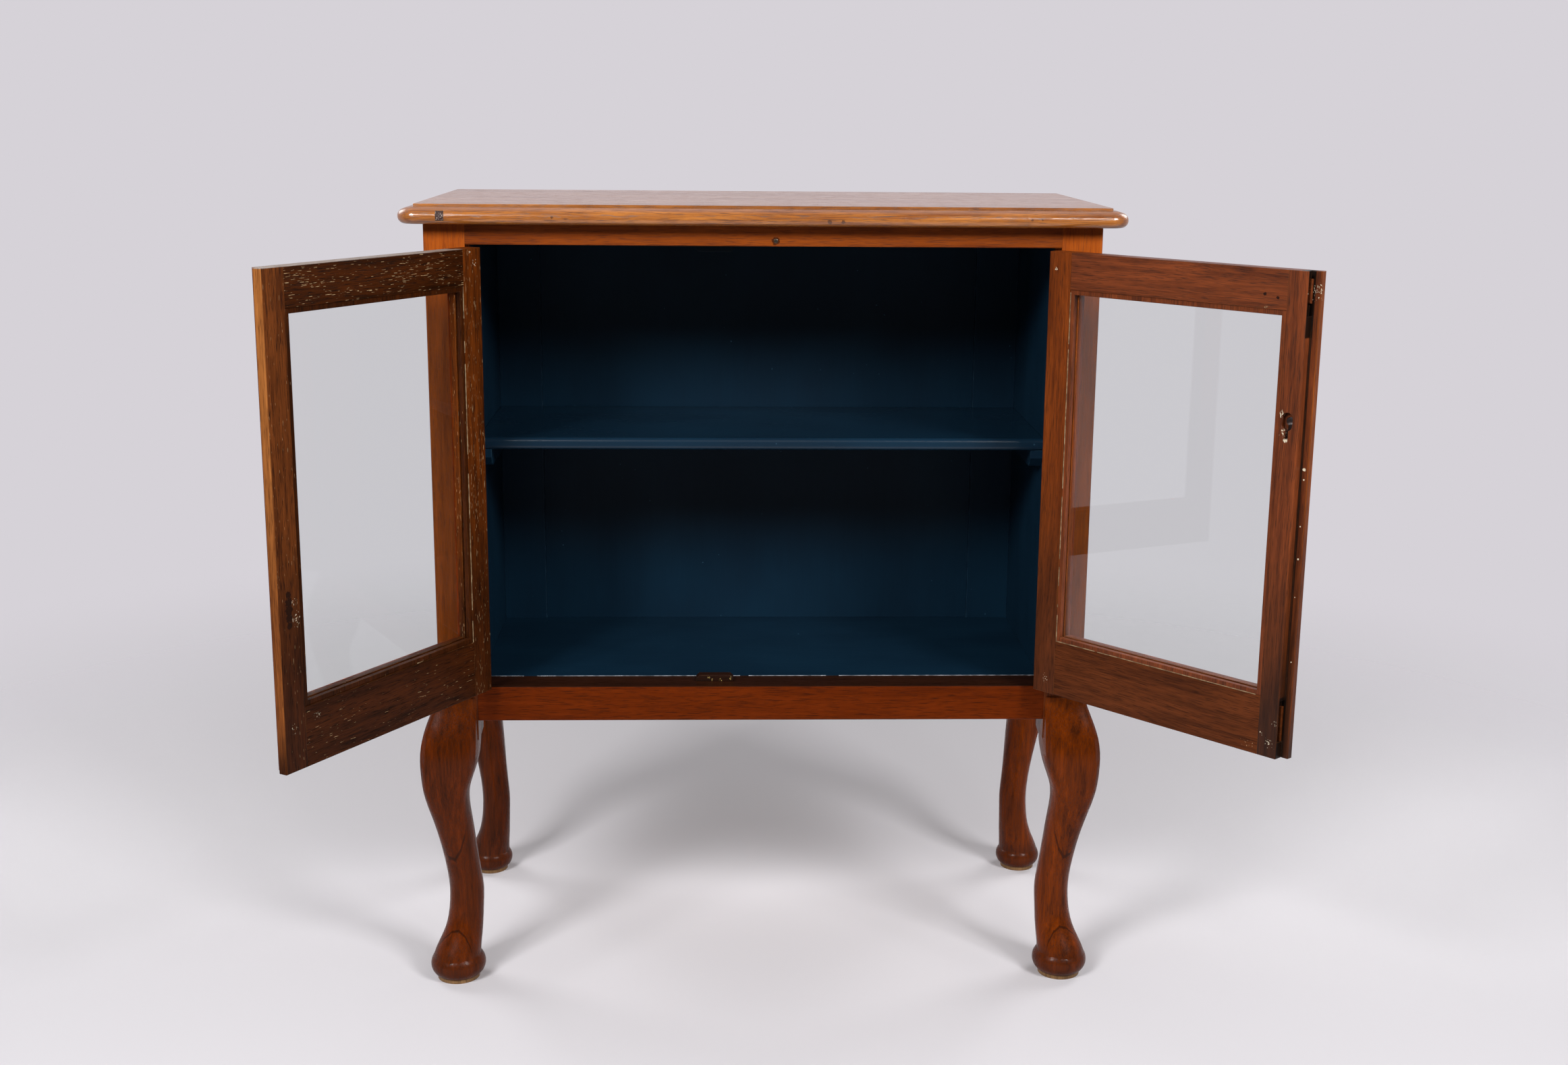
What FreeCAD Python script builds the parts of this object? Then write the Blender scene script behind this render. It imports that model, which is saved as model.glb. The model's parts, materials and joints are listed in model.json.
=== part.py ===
# Glass display cabinet: a glazed two-door case on cabriole legs, as separate joined pieces.
# Millimetres. +Z is up, the doors face -Y, and the origin is on the floor under the middle of the top.
# Every piece is made with its door closed; the doors are then swung to their stored, open position.
import FreeCAD, Part
import math
import os

V = FreeCAD.Vector
UP = V(0, 0, 1)

# Top board
TOP_WIDTH = 900.0
HEIGHT = 1030.0
TOP_THICK = 24.0
TOP_OVERHANG = 29.0
TOP_CORNER_RADIUS = 24.0
FIELD_STEP = 3.0
FIELD_INSET = 20.0
NOSE_LOWER_SHARE = 0.43
NOSE_EDGE_SHARE = 0.8
PLUG_WIDTH = 10.0
PLUG_HEIGHT = 12.0
PLUG_DEPTH = 14.0
PLUG_FROM_END = 54.0

# Posts and case frame
CASE_DEPTH = 395.0
POST = 51.0
POST_ARRIS = 3.0
FRONT_RAIL_THICK = 46.0
TOP_RAIL_HEIGHT = 26.0
FLOOR_Z = 411.5
BOTTOM_RAIL_HEIGHT = 46.5
SIDE_RAIL_THICK = 33.0
SIDE_TOP_RAIL_HEIGHT = 40.0
BACK_RAIL_THICK = 40.0
RAIL_ARRIS = 1.5
TENON_THICK = 10.0
TENON_LENGTH = 22.0
TENON_SHOULDER = 5.0
TENON_CLEARANCE = 0.15

# Cabriole legs, spokeshaved with even flats from knee to foot
LEG_FLAT_COUNT = 16
ROUND_HANDLE_SHARE = 0.5523
SQUARE_HANDLE_SHARE = 1.07
KNEE_TOP_Z = 396.0
KNEE_LEDGE = 5.0
KNEE_REACH = 51.0
KNEE_HOLLOW = 9.5
CALF_REACH = 47.0
SHIN_REACH = 35.0
ANKLE_RADIUS = 22.5
INSTEP_REACH = 32.0
TOE_REACH = 41.5
HEEL_REACH = 19.0
SQUARE_FOOT_Z = 340.0
SQUARE_TAPER = 40.0
SQUARE_TUCK = 1.0
PAD_OUT = 12.0
PAD_RADIUS = 36.5
PAD_ROUND = 18.5
PAD_SIT_SHARE = 0.78
PAD_TOP_SHARE = 0.94
PAD_NECK_SHARE = 0.4
PAD_BASE_RADIUS = 28.0
PAD_DISC = 6.0
REAR_SLIM_SHARE = 0.9

# Inside of the case
BACK_STILE_WIDTH = 60.0
BACK_STILE_THICK = 18.0
BACK_PANEL_THICK = 10.0
BACK_PANEL_SETBACK = 4.0
TONGUE = 6.0
TONGUE_CLEARANCE = 0.2
FLOOR_THICK = 16.0
FLOOR_REBATE = 6.0
SHELF_TOP_Z = 726.5
SHELF_THICK = 16.0
SHELF_SETBACK = 72.5
SHELF_NOSE = 6.0
SHELF_CLEARANCE = 0.5
BEARER_WIDTH = 17.0
BEARER_HEIGHT = 22.5
BEARER_SETBACK = 4.0
BEARER_CHAMFER = 12.0
STOP_X = -62.0
STOP_WIDTH = 49.0
STOP_HEIGHT = 8.5
STOP_DEPTH = 13.0
STOP_CHAMFER = 4.0
STOP_CLEARANCE = 0.3
BLOCK_LEG = 22.0
BLOCK_LENGTH = 60.0

# Doors
DOOR_THICK = 21.0
DOOR_SIDE_GAP = 1.6
DOOR_END_GAP = 2.0
STILE_WIDTH = 34.0
DOOR_TOP_RAIL = 45.0
DOOR_BOTTOM_RAIL = 71.0
DOOR_ARRIS = 1.2
DOOR_TENON_THICK = 7.0
DOOR_TENON_FACE = 6.0
DOOR_TENON_LENGTH = 24.0
DOOR_TENON_SHOULDER = 9.0
GLAZING_LIP_DEPTH = 11.0
GLAZING_REBATE = 7.0
GLASS_THICK = 3.0
GLASS_EDGE_GAP = 1.0
BEAD_WIDTH = 6.0
BEAD_DEPTH = 6.0
MEETING_LIP = 9.0
MEETING_LIP_THICK = 9.0
MEETING_GAP = 1.2
MEETING_DEPTH_GAP = 0.6
LEFT_OPEN_DEG = 121.0
RIGHT_OPEN_DEG = 131.0

# Butt hinges
HINGE_LENGTH = 60.0
HINGE_INSET = 70.0
LEAF_THICK = 1.6
LEAF_WIDTH = 17.0
LEAF_RECESS_CLEARANCE = 0.1
KNUCKLE_RADIUS = 3.6
KNUCKLE_GAP = 0.3
KNUCKLE_CLEARANCE = 0.4
PIN_RADIUS = 1.75
PIN_CLEARANCE = 0.05
PIN_STANDOFF = 3.0

# Keyhole and old bolt seats in the right meeting stile
KEYHOLE_Z = 809.0
KEYHOLE_FROM_HINGE = 348.5
KEYHOLE_RADIUS = 5.0
KEYHOLE_SLOT_WIDTH = 4.4
KEYHOLE_SLOT_DROP = 20.0
CHISELLED_RADIUS = 7.0
CHISELLED_RISE = 3.5
CHISELLED_DEPTH = 7.0
BOLT_SEAT_LENGTH = 50.0
BOLT_SEAT_DEPTH = 4.0
BOLT_SEAT_ARRIS = 1.5
BOLT_SEAT_LIFT = 20.0

# Places worked out from the sizes above
TOP_DEPTH = TOP_OVERHANG + CASE_DEPTH
TOP_FRONT_Y = -TOP_DEPTH / 2
UNDER_TOP = HEIGHT - TOP_THICK
FRONT_Y = TOP_FRONT_Y + TOP_OVERHANG
REAR_Y = FRONT_Y + CASE_DEPTH
OUTER_X = TOP_WIDTH / 2 - TOP_OVERHANG
INNER_X = OUTER_X - POST
POST_BACK_Y = FRONT_Y + POST
REAR_POST_Y = REAR_Y - POST
RAIL_BACK_Y = FRONT_Y + FRONT_RAIL_THICK
RAIL_BASE_Z = FLOOR_Z - BOTTOM_RAIL_HEIGHT
OPENING_TOP_Z = UNDER_TOP - TOP_RAIL_HEIGHT
PANEL_X = OUTER_X - SIDE_RAIL_THICK
BACK_BOARD_REAR_Y = REAR_Y - BACK_RAIL_THICK
BACK_BOARD_Y = BACK_BOARD_REAR_Y - BACK_STILE_THICK
BACK_PANEL_Y = BACK_BOARD_Y + BACK_PANEL_SETBACK
BACK_BASE_Z = FLOOR_Z - FLOOR_REBATE
SHELF_FRONT_Y = FRONT_Y + SHELF_SETBACK
SHELF_BASE_Z = SHELF_TOP_Z - SHELF_THICK
DOOR_BASE_Z = FLOOR_Z + DOOR_END_GAP
DOOR_TOP_Z = OPENING_TOP_Z - DOOR_END_GAP
DOOR_BACK_Y = FRONT_Y + DOOR_THICK
HINGE_EDGE_X = INNER_X - DOOR_SIDE_GAP
PIN_X = INNER_X - DOOR_SIDE_GAP / 2
PIN_Y = FRONT_Y - PIN_STANDOFF
LEAF_X = DOOR_SIDE_GAP / 2
HINGE_BASES_Z = (DOOR_BASE_Z + HINGE_INSET, DOOR_TOP_Z - HINGE_INSET - HINGE_LENGTH)
MEETING_X = (MEETING_LIP - MEETING_GAP) / 2
GLASS_Y = FRONT_Y + GLAZING_LIP_DEPTH
BEAD_Y = GLASS_Y + GLASS_THICK


def box(x, y, z):
    """A block between two places on each axis, given in either order."""
    low = V(min(x), min(y), min(z))
    return Part.makeBox(max(x) - low.x, max(y) - low.y, max(z) - low.z, low)


def prism(points, way):
    """A straight prism on a closed outline of points."""
    return Part.Face(Part.makePolygon(points + points[:1])).extrude(way)


def grown(shape_range, by):
    """A range made longer at both ends."""
    return (min(shape_range) - by, max(shape_range) + by)


def joined(pieces):
    """One solid from pieces that meet."""
    return pieces[0].multiFuse(pieces[1:]).removeSplitter()


def mirrored(shape, way):
    """The same piece on the other side of the plane through the origin across way."""
    return shape.mirror(V(0, 0, 0), way)


def on_side(shape, side):
    """A piece drawn for the left (-1), or its mirror image for the right (1)."""
    return shape if side < 0 else mirrored(shape, V(1, 0, 0))


def long_edges(shape, axis, length):
    """The straight edges along an axis that are as long as the piece."""
    picked = []
    for edge in shape.Edges:
        run = edge.Vertexes[-1].Point - edge.Vertexes[0].Point
        if abs(abs(run.dot(axis)) - length) < 1e-3:
            picked.append(edge)
    return picked


# Top board


def nose_profile():
    """Section of the thumbnail edge: a quarter round below, then two arcs that flatten towards the field.

    x runs inwards from the edge and z upwards. The middle arc ends where the flat one is level with it.
    """
    nose = TOP_THICK - FIELD_STEP
    lower = nose * NOSE_LOWER_SHARE
    rise = nose - lower
    tight = rise * NOSE_EDGE_SHARE
    wide = ((FIELD_INSET - tight) ** 2 + rise**2 - tight**2) / (2 * (rise - tight))
    tight_hub = V(tight, 0, lower)
    wide_hub = V(FIELD_INSET, 0, nose - wide)
    meet_way = (tight_hub - wide_hub).normalize()
    under_mid = V(lower, 0, lower) - V(math.sqrt(0.5), 0, math.sqrt(0.5)) * lower
    edge = V(0, 0, lower)
    meet = wide_hub + meet_way * wide
    quirk = V(FIELD_INSET, 0, nose)
    tight_mid = tight_hub + (meet_way + V(-1, 0, 0)).normalize() * tight
    wide_mid = wide_hub + (meet_way + UP).normalize() * wide
    top = V(TOP_CORNER_RADIUS, 0, nose)
    base = V(TOP_CORNER_RADIUS, 0, 0)
    edges = [
        Part.makeLine(base, V(lower, 0, 0)),
        Part.Arc(V(lower, 0, 0), under_mid, edge).toShape(),
        Part.Arc(edge, tight_mid, meet).toShape(),
        Part.Arc(meet, wide_mid, quirk).toShape(),
        Part.makeLine(quirk, top),
        Part.makeLine(top, base),
    ]
    return Part.Face(Part.Wire(edges))


def top_board():
    """The top and the plug let into its front edge."""
    face = nose_profile()
    half = TOP_WIDTH / 2
    inset = TOP_CORNER_RADIUS
    corner = V(-half + inset, TOP_FRONT_Y + inset, UNDER_TOP)
    side_edge = face.copy()
    side_edge.translate(V(-half, corner.y, UNDER_TOP))
    side = side_edge.extrude(V(0, -TOP_FRONT_Y - corner.y, 0))
    turn = side_edge.revolve(corner, UP, 90)
    front_edge = face.copy()
    front_edge.rotate(V(0, 0, 0), UP, 90)
    front_edge.translate(V(corner.x, TOP_FRONT_Y, UNDER_TOP))
    front = front_edge.extrude(V(-2 * corner.x, 0, 0))
    nose_top = HEIGHT - FIELD_STEP
    core = box((corner.x, -corner.x), (corner.y, -TOP_FRONT_Y), (UNDER_TOP, nose_top))
    field_x = half - FIELD_INSET
    field = box((-field_x, field_x), (TOP_FRONT_Y + FIELD_INSET, -TOP_FRONT_Y), (nose_top, HEIGHT))
    other = [mirrored(piece, V(1, 0, 0)) for piece in (side, turn)]
    board = joined([core, side, turn, front, field] + other)
    plug_x = -half + PLUG_FROM_END
    plug_z = UNDER_TOP + (nose_top - UNDER_TOP) / 2
    hole = box(
        (plug_x - PLUG_WIDTH / 2, plug_x + PLUG_WIDTH / 2),
        (TOP_FRONT_Y - PLUG_DEPTH, TOP_FRONT_Y + PLUG_DEPTH),
        (plug_z - PLUG_HEIGHT / 2, plug_z + PLUG_HEIGHT / 2),
    )
    return {"top_board": board.cut(hole), "top_edge_plug": board.common(hole)}


# Rails and their mortises


def rail(x, y, z, axis, tenon_at):
    """A rail with its outer arrises rounded and a tenon at each end, and the two mortises that take them.

    axis is 0 for a rail along X and 1 along Y; tenon_at is the middle of the tenon's thickness.
    """
    body = box(x, y, z)
    run = (x, y)[axis]
    face = max((y, x)[axis], key=abs)
    along = long_edges(body, (V(1, 0, 0), V(0, 1, 0))[axis], max(run) - min(run))
    outer = [e for e in along if abs((e.CenterOfMass.y, e.CenterOfMass.x)[axis] - face) < 1e-3]
    body = body.makeFillet(RAIL_ARRIS, outer)
    thick = (tenon_at - TENON_THICK / 2, tenon_at + TENON_THICK / 2)
    tall = (min(z) + TENON_SHOULDER, max(z) - TENON_SHOULDER)
    tenons = []
    mortises = []
    for end, way in ((min(run), -1), (max(run), 1)):
        reach = (end - way * TENON_SHOULDER, end + way * TENON_LENGTH)
        room = (end, end + way * (TENON_LENGTH + TENON_CLEARANCE))
        wide = grown(thick, TENON_CLEARANCE)
        high = grown(tall, TENON_CLEARANCE)
        tenons.append(box(reach, thick, tall) if axis == 0 else box(thick, reach, tall))
        mortises.append(box(room, wide, high) if axis == 0 else box(wide, room, high))
    return joined([body] + tenons), mortises


def case_rails():
    """The eight rails of the case and every mortise that they need."""
    across = (-INNER_X, INNER_X)
    along = (POST_BACK_Y, REAR_POST_Y)
    front = (FRONT_Y, RAIL_BACK_Y)
    back = (BACK_BOARD_REAR_Y, REAR_Y)
    low = (RAIL_BASE_Z, FLOOR_Z)
    side_high = (UNDER_TOP - SIDE_TOP_RAIL_HEIGHT, UNDER_TOP)
    plan = {
        "front_top_rail": (across, front, (OPENING_TOP_Z, UNDER_TOP), 0, sum(front) / 2),
        "front_bottom_rail": (across, front, low, 0, sum(front) / 2),
        "back_top_rail": (across, back, side_high, 0, sum(back) / 2),
        "back_bottom_rail": (across, back, low, 0, sum(back) / 2),
    }
    for side, word in ((-1, "left"), (1, "right")):
        thick = (side * PANEL_X, side * OUTER_X)
        plan["side_top_rail_" + word] = (thick, along, side_high, 1, sum(thick) / 2)
        plan["side_bottom_rail_" + word] = (thick, along, low, 1, sum(thick) / 2)
    nodes = {}
    mortises = []
    for name, sizes in plan.items():
        nodes[name], cuts = rail(*sizes)
        mortises += cuts
    return nodes, mortises


# Legs


def leg_section(z, outer, inner, roundness):
    """One section of the leg, as flats laid round a shape from nearly square (roundness 0) to round (1).

    outer and inner are how far its outward and inward faces stand from the post's axis.
    """
    half = (outer + inner) / 2
    hub = V((outer - inner) / 2, (outer - inner) / 2, z)
    handle = SQUARE_HANDLE_SHARE + (ROUND_HANDLE_SHARE - SQUARE_HANDLE_SHARE) * roundness
    ways = (V(half, 0, 0), V(0, half, 0), V(-half, 0, 0), V(0, -half, 0))
    flats = LEG_FLAT_COUNT // 4
    corners = []
    for turn in range(4):
        start = ways[turn]
        end = ways[(turn + 1) % 4]
        curve = Part.BezierCurve()
        curve.setPoles([hub + start, hub + start + end * handle, hub + end + start * handle, hub + end])
        corners += [curve.value((step + 0.5) / flats) for step in range(flats)]
    return Part.makePolygon(corners + corners[:1])


def cabriole(slim):
    """The curved leg below the case, with its outward corner towards +X and +Y, about the post's axis.

    slim is the thickness of its ankle and foot, as a share of a front leg's.
    """
    half = POST / 2
    tuck = half - SQUARE_TUCK
    ankle = ANKLE_RADIUS * slim
    heel = HEEL_REACH * slim
    stations = (
        (1.0, half + KNEE_LEDGE, tuck, 0.0),
        (0.945, half + KNEE_LEDGE + 0.3 * (KNEE_REACH - half - KNEE_LEDGE), tuck, 0.0),
        (0.80, KNEE_REACH, tuck - SQUARE_TUCK, 0.08),
        (0.735, KNEE_REACH - 0.1 * (KNEE_REACH - CALF_REACH), (tuck + KNEE_HOLLOW) / 2, 0.2),
        (0.66, CALF_REACH, KNEE_HOLLOW, 0.4),
        (0.53, SHIN_REACH, (2 * KNEE_HOLLOW + ankle) / 3, 0.72),
        (0.42, (SHIN_REACH + 2 * ankle) / 3, (KNEE_HOLLOW + 2 * ankle) / 3, 0.92),
        (0.33, ankle, ankle, 1.0),
        (0.24, ankle + 0.1 * (INSTEP_REACH * slim - ankle), ankle, 1.0),
        (0.155, INSTEP_REACH * slim, (ankle + heel) / 2, 1.0),
        (0.105, TOE_REACH * slim, heel, 1.0),
    )
    sections = [leg_section(share * KNEE_TOP_Z, *rest) for share, *rest in stations]
    neck = pad_waist(slim) + PAD_NECK_SHARE * PAD_ROUND * slim
    sections.append(leg_section(neck, PAD_OUT + pad_out(neck, slim) - PAD_DISC / 4, heel, 1.0))
    return Part.makeLoft(sections, True, False)


def pad_waist(slim):
    """The height at which the foot's bulb is widest."""
    return PAD_DISC + PAD_SIT_SHARE * PAD_ROUND * slim


def pad_out(z, slim):
    """How far the foot's bulb stands out from its own axis at a height."""
    bulb = PAD_ROUND * slim
    return PAD_RADIUS * slim - bulb + math.sqrt(bulb**2 - (z - pad_waist(slim)) ** 2)


def pad_foot(slim):
    """The turned bulb of the foot and the thin disc under it, about the bulb's own upright axis."""
    waist = pad_waist(slim)
    top = waist + PAD_TOP_SHARE * PAD_ROUND * slim
    disc = PAD_BASE_RADIUS * slim
    low = V(pad_out(PAD_DISC, slim), 0, PAD_DISC)
    high = V(pad_out(top, slim), 0, top)
    swell = Part.Arc(low, V(PAD_RADIUS * slim, 0, waist), high).toShape()
    rest = [high, V(0, 0, top), V(0, 0, 0), V(disc, 0, 0), V(disc, 0, PAD_DISC), low]
    outline = Part.Wire([swell] + Part.makePolygon(rest).Edges)
    foot = Part.Face(outline).revolve(V(0, 0, 0), UP, 360)
    foot.translate(V(PAD_OUT, PAD_OUT, 0))
    return foot


def square(z, half):
    """A square outline about the post's axis."""
    corners = [V(half, half, z), V(-half, half, z), V(-half, -half, z), V(half, -half, z)]
    return Part.makePolygon(corners + corners[:1])


def legs(mortises):
    """The four legs, each with its post, cut for the rails and for the hinge leaves."""
    half = POST / 2
    post = box((-half, half), (-half, half), (SQUARE_FOOT_Z, UNDER_TOP))
    upright = long_edges(post, UP, UNDER_TOP - SQUARE_FOOT_Z)
    outer = [e for e in upright if min(e.CenterOfMass.x, e.CenterOfMass.y) > 0]
    taper_ends = [square(SQUARE_FOOT_Z, half), square(SQUARE_FOOT_Z - SQUARE_TAPER, half / 2)]
    taper = Part.makeLoft(taper_ends, True, True)
    square_part = joined([post.makeFillet(POST_ARRIS, outer), taper])
    recesses = [on_side(leaf_recess(base, -1), side) for base in HINGE_BASES_Z for side in (-1, 1)]
    nodes = {}
    for row, back, slim in (("front", -1, 1.0), ("rear", 1, REAR_SLIM_SHARE)):
        whole = joined([cabriole(slim), pad_foot(slim), square_part])
        for word, side in (("left", -1), ("right", 1)):
            leg = whole if side > 0 else mirrored(whole, V(1, 0, 0))
            leg = leg if back > 0 else mirrored(leg, V(0, 1, 0))
            leg = leg.copy()
            middle_y = FRONT_Y + half if back < 0 else REAR_Y - half
            leg.translate(V(side * (OUTER_X - half), middle_y, 0))
            cuts = [m for m in mortises if m.BoundBox.intersect(leg.BoundBox)]
            if back < 0:
                cuts += [r for r in recesses if r.BoundBox.intersect(leg.BoundBox)]
            nodes["leg_" + row + "_" + word] = leg.cut(cuts)
    return nodes


# Panels, floor, shelf and small case pieces


def case_boards():
    """Side panels, back, floor and shelf, with the bearers that carry them."""
    nodes = {}
    for word, side in (("left", -1), ("right", 1)):
        inside = side * INNER_X
        panel = box((inside, side * PANEL_X), (POST_BACK_Y, REAR_POST_Y), (RAIL_BASE_Z, UNDER_TOP))
        nodes["side_panel_" + word] = panel
        stile = box(back_stile_x(side), (BACK_BOARD_Y, BACK_BOARD_REAR_Y), (BACK_BASE_Z, UNDER_TOP))
        nodes["back_stile_" + word] = stile.cut(back_groove(side))
        ledge = (inside, side * (INNER_X - BEARER_WIDTH))
        low = FLOOR_Z - FLOOR_THICK
        deep = (POST_BACK_Y, BACK_BOARD_REAR_Y)
        nodes["floor_bearer_" + word] = box(ledge, deep, (low - BEARER_HEIGHT, low))
        nodes["shelf_bearer_" + word] = shelf_bearer(ledge)
    nodes["back_panel"] = back_panel()
    nodes["bottom_board"] = bottom_board()
    nodes["shelf"] = shelf()
    return nodes


def bottom_board():
    """The case's floor, rebated along its rear edge where the back stands."""
    board = box((-INNER_X, INNER_X), (RAIL_BACK_Y, BACK_BOARD_REAR_Y), (FLOOR_Z - FLOOR_THICK, FLOOR_Z))
    deep = (BACK_BASE_Z, FLOOR_Z)
    seats = [box((-INNER_X, INNER_X), (BACK_PANEL_Y, BACK_BOARD_REAR_Y), deep)]
    for side in (-1, 1):
        seats.append(box(back_stile_x(side), (BACK_BOARD_Y, BACK_BOARD_REAR_Y), deep))
    return board.cut(seats)


def back_stile_x(side):
    """The two upright edges of a back stile."""
    return (side * INNER_X, side * (INNER_X - BACK_STILE_WIDTH))


def back_edge(side, growth):
    """One tongue of the back panel, or with growth the groove that takes it."""
    edge = INNER_X - BACK_STILE_WIDTH
    middle = BACK_PANEL_Y + BACK_PANEL_THICK / 2
    return box(
        (side * edge, side * (edge + TONGUE + growth)),
        (middle - TONGUE / 2 - growth, middle + TONGUE / 2 + growth),
        (BACK_BASE_Z, UNDER_TOP),
    )


def back_groove(side):
    """The groove in a back stile."""
    return back_edge(side, TONGUE_CLEARANCE)


def back_panel():
    """The back panel with a tongue along each upright edge."""
    edge = INNER_X - BACK_STILE_WIDTH
    board = box((-edge, edge), (BACK_PANEL_Y, BACK_PANEL_Y + BACK_PANEL_THICK), (BACK_BASE_Z, UNDER_TOP))
    return joined([board, back_edge(-1, 0), back_edge(1, 0)])


def shelf():
    """The shelf, with its front edge rounded above and below."""
    half = INNER_X - SHELF_CLEARANCE
    board = box((-half, half), (SHELF_FRONT_Y, BACK_BOARD_Y - SHELF_CLEARANCE), (SHELF_BASE_Z, SHELF_TOP_Z))
    nose = [e for e in long_edges(board, V(1, 0, 0), 2 * half) if e.CenterOfMass.y < SHELF_FRONT_Y + 1]
    return board.makeFillet(SHELF_NOSE, nose)


def shelf_bearer(ledge):
    """A bearer under one end of the shelf, cut off at a slant at the front."""
    front = SHELF_FRONT_Y + BEARER_SETBACK
    base = SHELF_BASE_Z - BEARER_HEIGHT
    outline = [
        V(ledge[0], front, SHELF_BASE_Z),
        V(ledge[0], front, base + BEARER_CHAMFER),
        V(ledge[0], front + BEARER_CHAMFER, base),
        V(ledge[0], BACK_BOARD_Y, base),
        V(ledge[0], BACK_BOARD_Y, SHELF_BASE_Z),
    ]
    return prism(outline, V(ledge[1] - ledge[0], 0, 0))


def door_stops():
    """The block that each end of the left door shuts against, with slanted ends."""
    nodes = {}
    front = DOOR_BACK_Y + STOP_CLEARANCE
    for name, seat, way in (("door_stop_bottom", FLOOR_Z, 1), ("door_stop_top", OPENING_TOP_Z, -1)):
        half = STOP_WIDTH / 2
        outline = [
            V(STOP_X - half, front, seat),
            V(STOP_X + half, front, seat),
            V(STOP_X + half, front, seat + way * (STOP_HEIGHT - STOP_CHAMFER)),
            V(STOP_X + half - STOP_CHAMFER, front, seat + way * STOP_HEIGHT),
            V(STOP_X - half + STOP_CHAMFER, front, seat + way * STOP_HEIGHT),
            V(STOP_X - half, front, seat + way * (STOP_HEIGHT - STOP_CHAMFER)),
        ]
        nodes[name] = prism(outline, V(0, STOP_DEPTH, 0))
    return nodes


def top_blocks():
    """Glue blocks in the angle between the top and the case, as separate solids in one group."""
    blocks = []
    for share in (-0.5, 0.5):
        x = share * INNER_X - BLOCK_LENGTH / 2
        for wall, way in ((RAIL_BACK_Y, 1), (BACK_PANEL_Y, -1)):
            corner = V(x, wall, UNDER_TOP)
            outline = [corner, corner + V(0, way * BLOCK_LEG, 0), corner - V(0, 0, BLOCK_LEG)]
            blocks.append(prism(outline, V(BLOCK_LENGTH, 0, 0)))
        y = share * (BACK_BOARD_Y - RAIL_BACK_Y) / 2 + (BACK_BOARD_Y + RAIL_BACK_Y) / 2 - BLOCK_LENGTH / 2
        for side in (-1, 1):
            corner = V(side * INNER_X, y, UNDER_TOP)
            outline = [corner, corner - V(side * BLOCK_LEG, 0, 0), corner - V(0, 0, BLOCK_LEG)]
            blocks.append(prism(outline, V(0, BLOCK_LENGTH, 0)))
    return {"top_corner_blocks": Part.makeCompound(blocks)}


# Hinges, drawn at the left door


def knuckle_spans(base):
    """The three knuckles of a hinge: the outer two are the post's, the middle one is the door's."""
    third = HINGE_LENGTH / 3
    gap = KNUCKLE_GAP / 2
    return (
        (base, base + third - gap),
        (base + third + gap, base + 2 * third - gap),
        (base + 2 * third + gap, base + HINGE_LENGTH),
    )


def hinge_plate(base, side, spans):
    """A leaf's plate, with a tab out to each of its knuckles, and the knuckles as plain rounds."""
    x = (-PIN_X + side * LEAF_X, -PIN_X + side * (LEAF_X + LEAF_THICK))
    clear = PIN_Y + KNUCKLE_RADIUS + KNUCKLE_CLEARANCE
    pieces = [box(x, (clear, FRONT_Y + LEAF_WIDTH), (base, base + HINGE_LENGTH))]
    for low, high in spans:
        pieces.append(box(x, (PIN_Y, clear), (low, high)))
        pieces.append(Part.makeCylinder(KNUCKLE_RADIUS, high - low, V(-PIN_X, PIN_Y, low)))
    return pieces


def post_leaf(base):
    """The leaf on the post, with the pin fast in its two knuckles."""
    lower, _, upper = knuckle_spans(base)
    pin = Part.makeCylinder(PIN_RADIUS, HINGE_LENGTH, V(-PIN_X, PIN_Y, base))
    return joined(hinge_plate(base, -1, (lower, upper)) + [pin])


def door_leaf(base):
    """The leaf on the door, whose one knuckle turns on the pin."""
    span = knuckle_spans(base)[1]
    bore = Part.makeCylinder(PIN_RADIUS + PIN_CLEARANCE, HINGE_LENGTH, V(-PIN_X, PIN_Y, base))
    return joined(hinge_plate(base, 1, (span,))).cut(bore)


def leaf_recess(base, side):
    """The shallow seat for a leaf: side -1 in the post's inner face, 1 in the door's hinge edge."""
    c = LEAF_RECESS_CLEARANCE
    face = -PIN_X + side * LEAF_X
    deep = (face, face + side * LEAF_THICK)
    return box(deep, (FRONT_Y, FRONT_Y + LEAF_WIDTH + c), (base - c, base + HINGE_LENGTH + c))


# Doors, drawn shut and as the left one


def door_sides(cover):
    """Where the meeting stile's tongue or lip, its inner face and its glass edge stand, as at the left.

    The left door's tongue runs past the middle behind the cover lip of the right door.
    """
    inner = -MEETING_X - MEETING_GAP if cover else MEETING_X
    front = MEETING_X if cover else -MEETING_X - MEETING_GAP
    glass = MEETING_X - STILE_WIDTH
    return front, inner, glass


def stile_outline(edge_front, edge_back, step_y, glass):
    """Section of a stile: the outer edge may be stepped, and the glass side is rebated at the back."""
    toward = 1 if glass > edge_back else -1
    sight = glass + toward * GLAZING_REBATE
    points = [V(edge_front, FRONT_Y, 0), V(sight, FRONT_Y, 0), V(sight, GLASS_Y, 0), V(glass, GLASS_Y, 0)]
    points += [V(glass, DOOR_BACK_Y, 0), V(edge_back, DOOR_BACK_Y, 0)]
    if edge_front != edge_back:
        points += [V(edge_back, step_y, 0), V(edge_front, step_y, 0)]
    return points


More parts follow.
